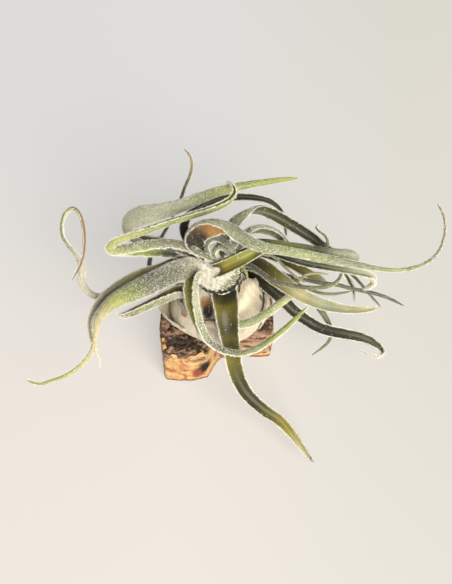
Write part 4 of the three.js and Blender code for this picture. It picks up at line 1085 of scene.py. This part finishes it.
def add(tree, kind, inputs=None, **settings):
    """Adds a node with its settings. inputs are values or links for its sockets."""
    made = tree.nodes.new("ShaderNode" + kind)
    for name, value in settings.items():
        setattr(made, name, value)
    for socket, value in (inputs or {}).items():
        if isinstance(value, bpy.types.NodeSocket):
            tree.links.new(value, made.inputs[socket])
        else:
            made.inputs[socket].default_value = value
    return made


def finish_of(name):
    """An empty material with its output node."""
    material = bpy.data.materials.new(name)
    material.use_nodes = True
    tree = material.node_tree
    tree.nodes.clear()
    return material, tree, add(tree, "OutputMaterial")


# A vein's width to its length, the span that a pattern mostly keeps to, the repeats and the tones of the
# soft blotches, a speck's width to the pattern's repeat, and how high the pattern has to be to show a
# speck where there is no scurf and where it is full.
VEIN_SHAPE = 0.06
PATTERN_SPAN = (0.3, 0.7)
BLOTCHES_PER_MM = 0.16
BLOTCH_TONES = (0.86, 1.12)
SPECK_SHARE = 0.62
SPECK_NONE = 0.66
SPECK_FULL = 0.34
SPECK_EDGE = 0.26
SCURF_COLOUR = "#c3c5b0"


def plant_skin(name, rough, scurf_rough, sheen, speck_mm, specked, vein_mm, vein_depth, edge_share):
    """Plant skin under scurf. Its colour comes from the part's own tint, and fine veins run along it.

    specked is the part of the scurf that lies in specks of speck_mm, and the rest is an even veil.
    """
    material, tree, output = finish_of(name)
    blade = add(tree, "Attribute", attribute_name="blade").outputs["Vector"]
    tint = add(tree, "Attribute", attribute_name="tint").outputs["Color"]
    scurf = add(tree, "Attribute", attribute_name="scurf").outputs["Fac"]
    edge = add(tree, "Attribute", attribute_name="edge").outputs["Fac"]
    stretched = add(tree, "Mapping", {"Vector": blade, "Scale": (VEIN_SHAPE / vein_mm, 1 / vein_mm, 1)})
    veins = add(tree, "TexNoise", {"Vector": stretched.outputs["Vector"], "Scale": 1.0, "Detail": 3.0})
    blotches = add(tree, "TexNoise", {"Vector": blade, "Scale": BLOTCHES_PER_MM, "Detail": 2.0})
    low, high = PATTERN_SPAN
    vein_tone, blotch_tone = (
        add(tree, "MapRange", {
            "Value": pattern.outputs["Fac"], "From Min": low, "From Max": high,
            "To Min": dark, "To Max": light}).outputs[0]
        for pattern, (dark, light) in (
            (veins, (1 - vein_depth, 1 + vein_depth * 0.6)), (blotches, BLOTCH_TONES)))
    tone = add(tree, "Math", {0: vein_tone, 1: blotch_tone}, operation="MULTIPLY")
    grey = add(tree, "CombineColor", {0: tone.outputs[0], 1: tone.outputs[0], 2: tone.outputs[0]})
    veined = add(tree, "Mix", {MIX_FACTOR: 1.0, MIX_A: tint, MIX_B: grey.outputs[0]},
                 data_type="RGBA", blend_type="MULTIPLY", clamp_result=True)

    specks = add(tree, "TexNoise", {
        "Vector": blade, "Scale": SPECK_SHARE / speck_mm, "Detail": 2.0, "Roughness": 0.6})
    threshold = add(tree, "MapRange", {"Value": scurf, "To Min": SPECK_NONE, "To Max": SPECK_FULL})
    over = add(tree, "Math", {0: threshold.outputs[0], 1: SPECK_EDGE}, operation="ADD")
    covered = add(tree, "MapRange", {
        "Value": specks.outputs["Fac"], "From Min": threshold.outputs[0],
        "From Max": over.outputs[0]}, interpolation_type="SMOOTHSTEP")
    veil = add(tree, "Math", {0: scurf, 1: 1 - specked}, operation="MULTIPLY")
    strewn = add(tree, "Math", {0: covered.outputs[0], 1: specked, 2: veil.outputs[0]},
                 operation="MULTIPLY_ADD")
    rim = add(tree, "Math", {0: edge, 1: edge_share}, operation="MULTIPLY")
    white = add(tree, "Math", {0: strewn.outputs[0], 1: rim.outputs[0]}, operation="MAXIMUM").outputs[0]
    colour = add(tree, "Mix", {
        MIX_FACTOR: white, MIX_A: veined.outputs[MIX_OUT], MIX_B: shade(SCURF_COLOUR)}, data_type="RGBA")
    roughness = add(tree, "MapRange", {"Value": white, "To Min": rough, "To Max": scurf_rough})
    height = add(tree, "Math", {0: veins.outputs["Fac"], 1: white}, operation="ADD")
    bump = add(tree, "Bump", {"Height": height.outputs[0], "Strength": 0.5, "Distance": 0.08 * METRE})
    shader = add(tree, "BsdfPrincipled", {
        "Base Color": colour.outputs[MIX_OUT], "Roughness": roughness.outputs[0],
        "Normal": bump.outputs["Normal"], "Sheen Weight": sheen, "Sheen Roughness": 0.6,
        "Specular IOR Level": 0.25})
    tree.links.new(shader.outputs[0], output.inputs["Surface"])
    return material


def wool_skin():
    """Dead, air-filled plant hairs: matt and nearly white, so that they edge each leaf with light."""
    material, tree, output = finish_of("trichome_wool")
    shader = add(tree, "BsdfPrincipled", {"Base Color": shade("#e8e5da"), "Roughness": 0.9})
    tree.links.new(shader.outputs[0], output.inputs["Surface"])
    return material


# The cork's patterns, as repeats for each millimetre: grains of about a millimetre, growth layers three
# times flatter than wide, and the larger patches, rusty clouds, lumps of crust and cracks.
GRAINS = 0.9
YEARS = 0.12
PATCHES = 0.17
CLOUDS = 0.13
LUMPS = 0.15
CRACKS = 0.2
LAYER_FLATNESS = 3.2


def cork_skin():
    """Cork oak bark: dark weathered ridges outside, granular tan cork where it is sawn or broken."""
    material, tree, output = finish_of("cork_oak_bark")
    place = add(tree, "TexCoord").outputs["Object"]
    in_mm = 1 / METRE
    spot = add(tree, "Mapping", {"Vector": place, "Scale": (in_mm, in_mm, in_mm)}).outputs["Vector"]
    layers = add(tree, "Mapping", {
        "Vector": place, "Scale": (in_mm, in_mm, in_mm * LAYER_FLATNESS)}).outputs["Vector"]
    inward = add(tree, "Attribute", attribute_name="inward").outputs["Fac"]
    across, _, height = add(tree, "SeparateXYZ", {"Vector": spot}).outputs

    def laid_over(under, over, value, low, high):
        """The colour over lies on the colour under where the value has gone from low to high."""
        share = add(tree, "MapRange", {"Value": value, "From Min": low, "From Max": high},
                    interpolation_type="SMOOTHSTEP")
        return add(tree, "Mix", {MIX_FACTOR: share.outputs[0], MIX_A: under, MIX_B: over},
                   data_type="RGBA").outputs[MIX_OUT]

    def spotted(under, colour, centre, radius):
        """The colour lies at a spot on the cork, with an uneven rim."""
        gap = add(tree, "VectorMath", {0: spot, 1: centre}, operation="DISTANCE").outputs["Value"]
        rim = add(tree, "Math", {0: patches, 1: -radius, 2: gap}, operation="MULTIPLY_ADD").outputs[0]
        return laid_over(under, shade(colour), rim, radius * 0.6, radius * -0.1)

    grain, years, patches, clouds, lumps = (
        add(tree, "TexNoise", {
            "Vector": vector, "Scale": per_mm, "Detail": detail, "Roughness": finer,
            "Distortion": bend}).outputs["Fac"]
        for vector, per_mm, detail, finer, bend in (
            (spot, GRAINS, 4.0, 0.5, 0.0), (layers, YEARS, 3.0, 0.5, 0.6), (spot, PATCHES, 3.0, 0.6, 0.0),
            (spot, CLOUDS, 2.0, 0.5, 0.0), (spot, LUMPS, 2.5, 0.5, 0.0)))
    cracks = add(tree, "TexVoronoi", {"Vector": layers, "Scale": CRACKS, "Randomness": 1.0})

    sawn = laid_over(shade("#c9a672"), shade("#b98d56"), years, 0.4, 0.62)
    sawn = laid_over(sawn, shade("#96683b"), grain, 0.52, 0.72)
    sawn = laid_over(sawn, shade("#9a623f"), clouds, 0.55, 0.66)
    sawn = spotted(sawn, "#7d4028", RUST_SPOT, RUST_RADIUS)
    sawn = laid_over(sawn, shade("#7a4229"), height, 2.6, 0.6)
    # Painted shade: the pit is painted nearly black for the shade of a hole that its shallow dent lacks.
    sawn = spotted(sawn, "#1d0d08", CORK_PIT, PIT_RADIUS * 2)
    side = laid_over(shade("#9f7f62"), shade("#523524"), years, 0.44, 0.58)
    side = laid_over(side, shade("#a88a6a"), patches, 0.52, 0.66)
    crust = laid_over(shade("#38291d"), shade("#8f705a"), lumps, 0.47, 0.56)
    crust = laid_over(crust, shade("#2a1e15"), cracks.outputs["Distance"], 0.45, 0.1)
    crust = laid_over(crust, shade("#5d6650"), grain, 0.52, 0.9)

    crust_edge, side_edge = (
        add(tree, "Math", {0: lumps, 1: ragged, 2: value}, operation="MULTIPLY_ADD").outputs[0]
        for ragged, value in ((RAGGED * 2, inward), (RAGGED, across)))
    side_from = WEATHERED_FROM + RAGGED / 2
    lowest = RAGGED - WEATHERED_DEPTH
    crust_from = RAGGED + SAWN_MARGIN
    weathered = laid_over(sawn, side, side_edge, side_from - 1, side_from + 1)
    colour = laid_over(sawn, weathered, crust_edge, lowest, lowest + 4)
    colour = laid_over(colour, crust, crust_edge, crust_from - 1, crust_from + 1)
    rise = add(tree, "Math", {0: grain, 1: years}, operation="ADD").outputs[0]
    bump = add(tree, "Bump", {"Height": rise, "Strength": 0.7, "Distance": 0.5 * METRE})
    shader = add(tree, "BsdfPrincipled", {
        "Base Color": colour, "Roughness": 0.92, "Normal": bump.outputs["Normal"]})
    tree.links.new(shader.outputs[0], output.inputs["Surface"])
    return material


WOOL_SKIN = wool_skin()

# The back of a living leaf: dull, its green greyed by white specks and a pale veil of scales.
LEAF_BACK = plant_skin(
    "leaf_epidermis_scurfy_back", rough=0.6, scurf_rough=0.95, sheen=0.1,
    speck_mm=0.33, specked=0.68, vein_mm=1.1, vein_depth=0.2, edge_share=0.4)

# The channelled inside of a leaf: nearly bare, so it has a waxy gloss and a deeper colour.
LEAF_INSIDE = plant_skin(
    "leaf_epidermis_channelled_inside", rough=0.42, scurf_rough=0.9, sheen=0.02,
    speck_mm=0.33, specked=0.6, vein_mm=0.9, vein_depth=0.25, edge_share=0.4)

# A dried sheath: papery cream with close fine veins.
SHEATH_SKIN = plant_skin(
    "dried_papery_sheath", rough=0.62, scurf_rough=0.95, sheen=0.15,
    speck_mm=0.8, specked=0.6, vein_mm=0.55, vein_depth=0.2, edge_share=0.4)

# The leaf base under its wool: white felt, so thick that no vein shows.
FELT_SKIN = plant_skin(
    "felted_leaf_base", rough=0.85, scurf_rough=0.95, sheen=0.2,
    speck_mm=0.9, specked=0.2, vein_mm=1.1, vein_depth=0.04, edge_share=0.4)
CORK_SKIN = cork_skin()


def seat(piece, node, *extra):
    """The piece stands for its node, and it and its wool ride on the plant."""
    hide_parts(node)
    for made in (piece, *extra):
        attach(made, "root")


seat(cork_chunk(), "cork_bark")
body, body_wool = bulb_body()
seat(body, "bulb", body_wool)
for seed, (name, sheath) in enumerate(SHEATHS.items(), start=SHEATH_SEED):
    made, wool = sheath_shell(name + "_visual", sheath, seed)
    seat(made, name, wool)
for seed, (name, leaf) in enumerate(LEAVES.items(), start=LEAF_SEED):
    made, wool = leaf_blade(name + "_visual", leaf, seed)
    seat(made, name, wool)


def paper_sheet():
    """Pale matt paper that glows by itself as painted light, so that shadows on it stay soft."""
    material, tree, output = finish_of("paper_sheet_painted_glow")
    place = add(tree, "SeparateXYZ", {"Vector": add(tree, "TexCoord").outputs["Object"]})
    # The glow is painted darker towards the far side and the right, as painted shade.
    far, right = (
        add(tree, "MapRange", {"Value": place.outputs[axis], "From Min": near, "From Max": away})
        for axis, (near, away) in (("Y", PAPER_DEPTHS), ("X", PAPER_SPAN)))
    paper = add(tree, "Mix", {
        MIX_FACTOR: far.outputs[0], MIX_A: shade(PAPER_FRONT), MIX_B: shade(PAPER_FAR)}, data_type="RGBA")
    glow = add(tree, "Mix", {
        MIX_FACTOR: right.outputs[0], MIX_A: paper.outputs[MIX_OUT], MIX_B: shade(PAPER_RIGHT)},
        data_type="RGBA")
    # A dark base colour under the painted glow, which gives most of the paper's brightness.
    shader = add(tree, "BsdfPrincipled", {
        "Base Color": shade("#7d7b78"), "Roughness": 0.9,
        "Emission Color": glow.outputs[MIX_OUT], "Emission Strength": PAPER_PAINTED_GLOW})
    tree.links.new(shader.outputs[0], output.inputs["Surface"])
    return material


def studio():
    """The sheet under the plant, the room's even light, a broad soft window and the camera."""
    half = FLOOR_HALF / METRE
    corners = np.array([[-half, -half, 0], [half, -half, 0], [half, half, 0], [-half, half, 0]])
    floor = built("floor", corners, np.array([[0, 1, 2, 3]]), [paper_sheet()])

    scene = bpy.context.scene
    scene.world = bpy.data.worlds.new("room")
    scene.world.use_nodes = True
    room = scene.world.node_tree.nodes["Background"].inputs
    room["Color"].default_value = shade("#eef1f5")
    room["Strength"].default_value = ROOM_LIGHT

    lamp = bpy.data.lights.new("window", "AREA")
    lamp.shape = "DISK"
    lamp.size = WINDOW_SIZE
    lamp.energy = WINDOW_POWER
    lamp.color = shade("#fff8ee")[:3]
    window = bpy.data.objects.new("window", lamp)
    window.location = WINDOW_PLACE
    window.rotation_euler = (Vector(WINDOW_AIM) - window.location).to_track_quat("-Z", "Y").to_euler()
    scene.collection.objects.link(window)

    camera = bpy.data.objects.new("camera", bpy.data.cameras.new("camera"))
    camera.data.lens = LENS_MM
    camera.location = (EYE_AIM + EYE_DISTANCE * TOWARD_EYE) * METRE
    camera.rotation_euler = Vector(-TOWARD_EYE).to_track_quat("-Z", "Y").to_euler()
    scene.collection.objects.link(camera)
    scene.camera = camera
    scene.view_settings.view_transform = "Standard"


studio()
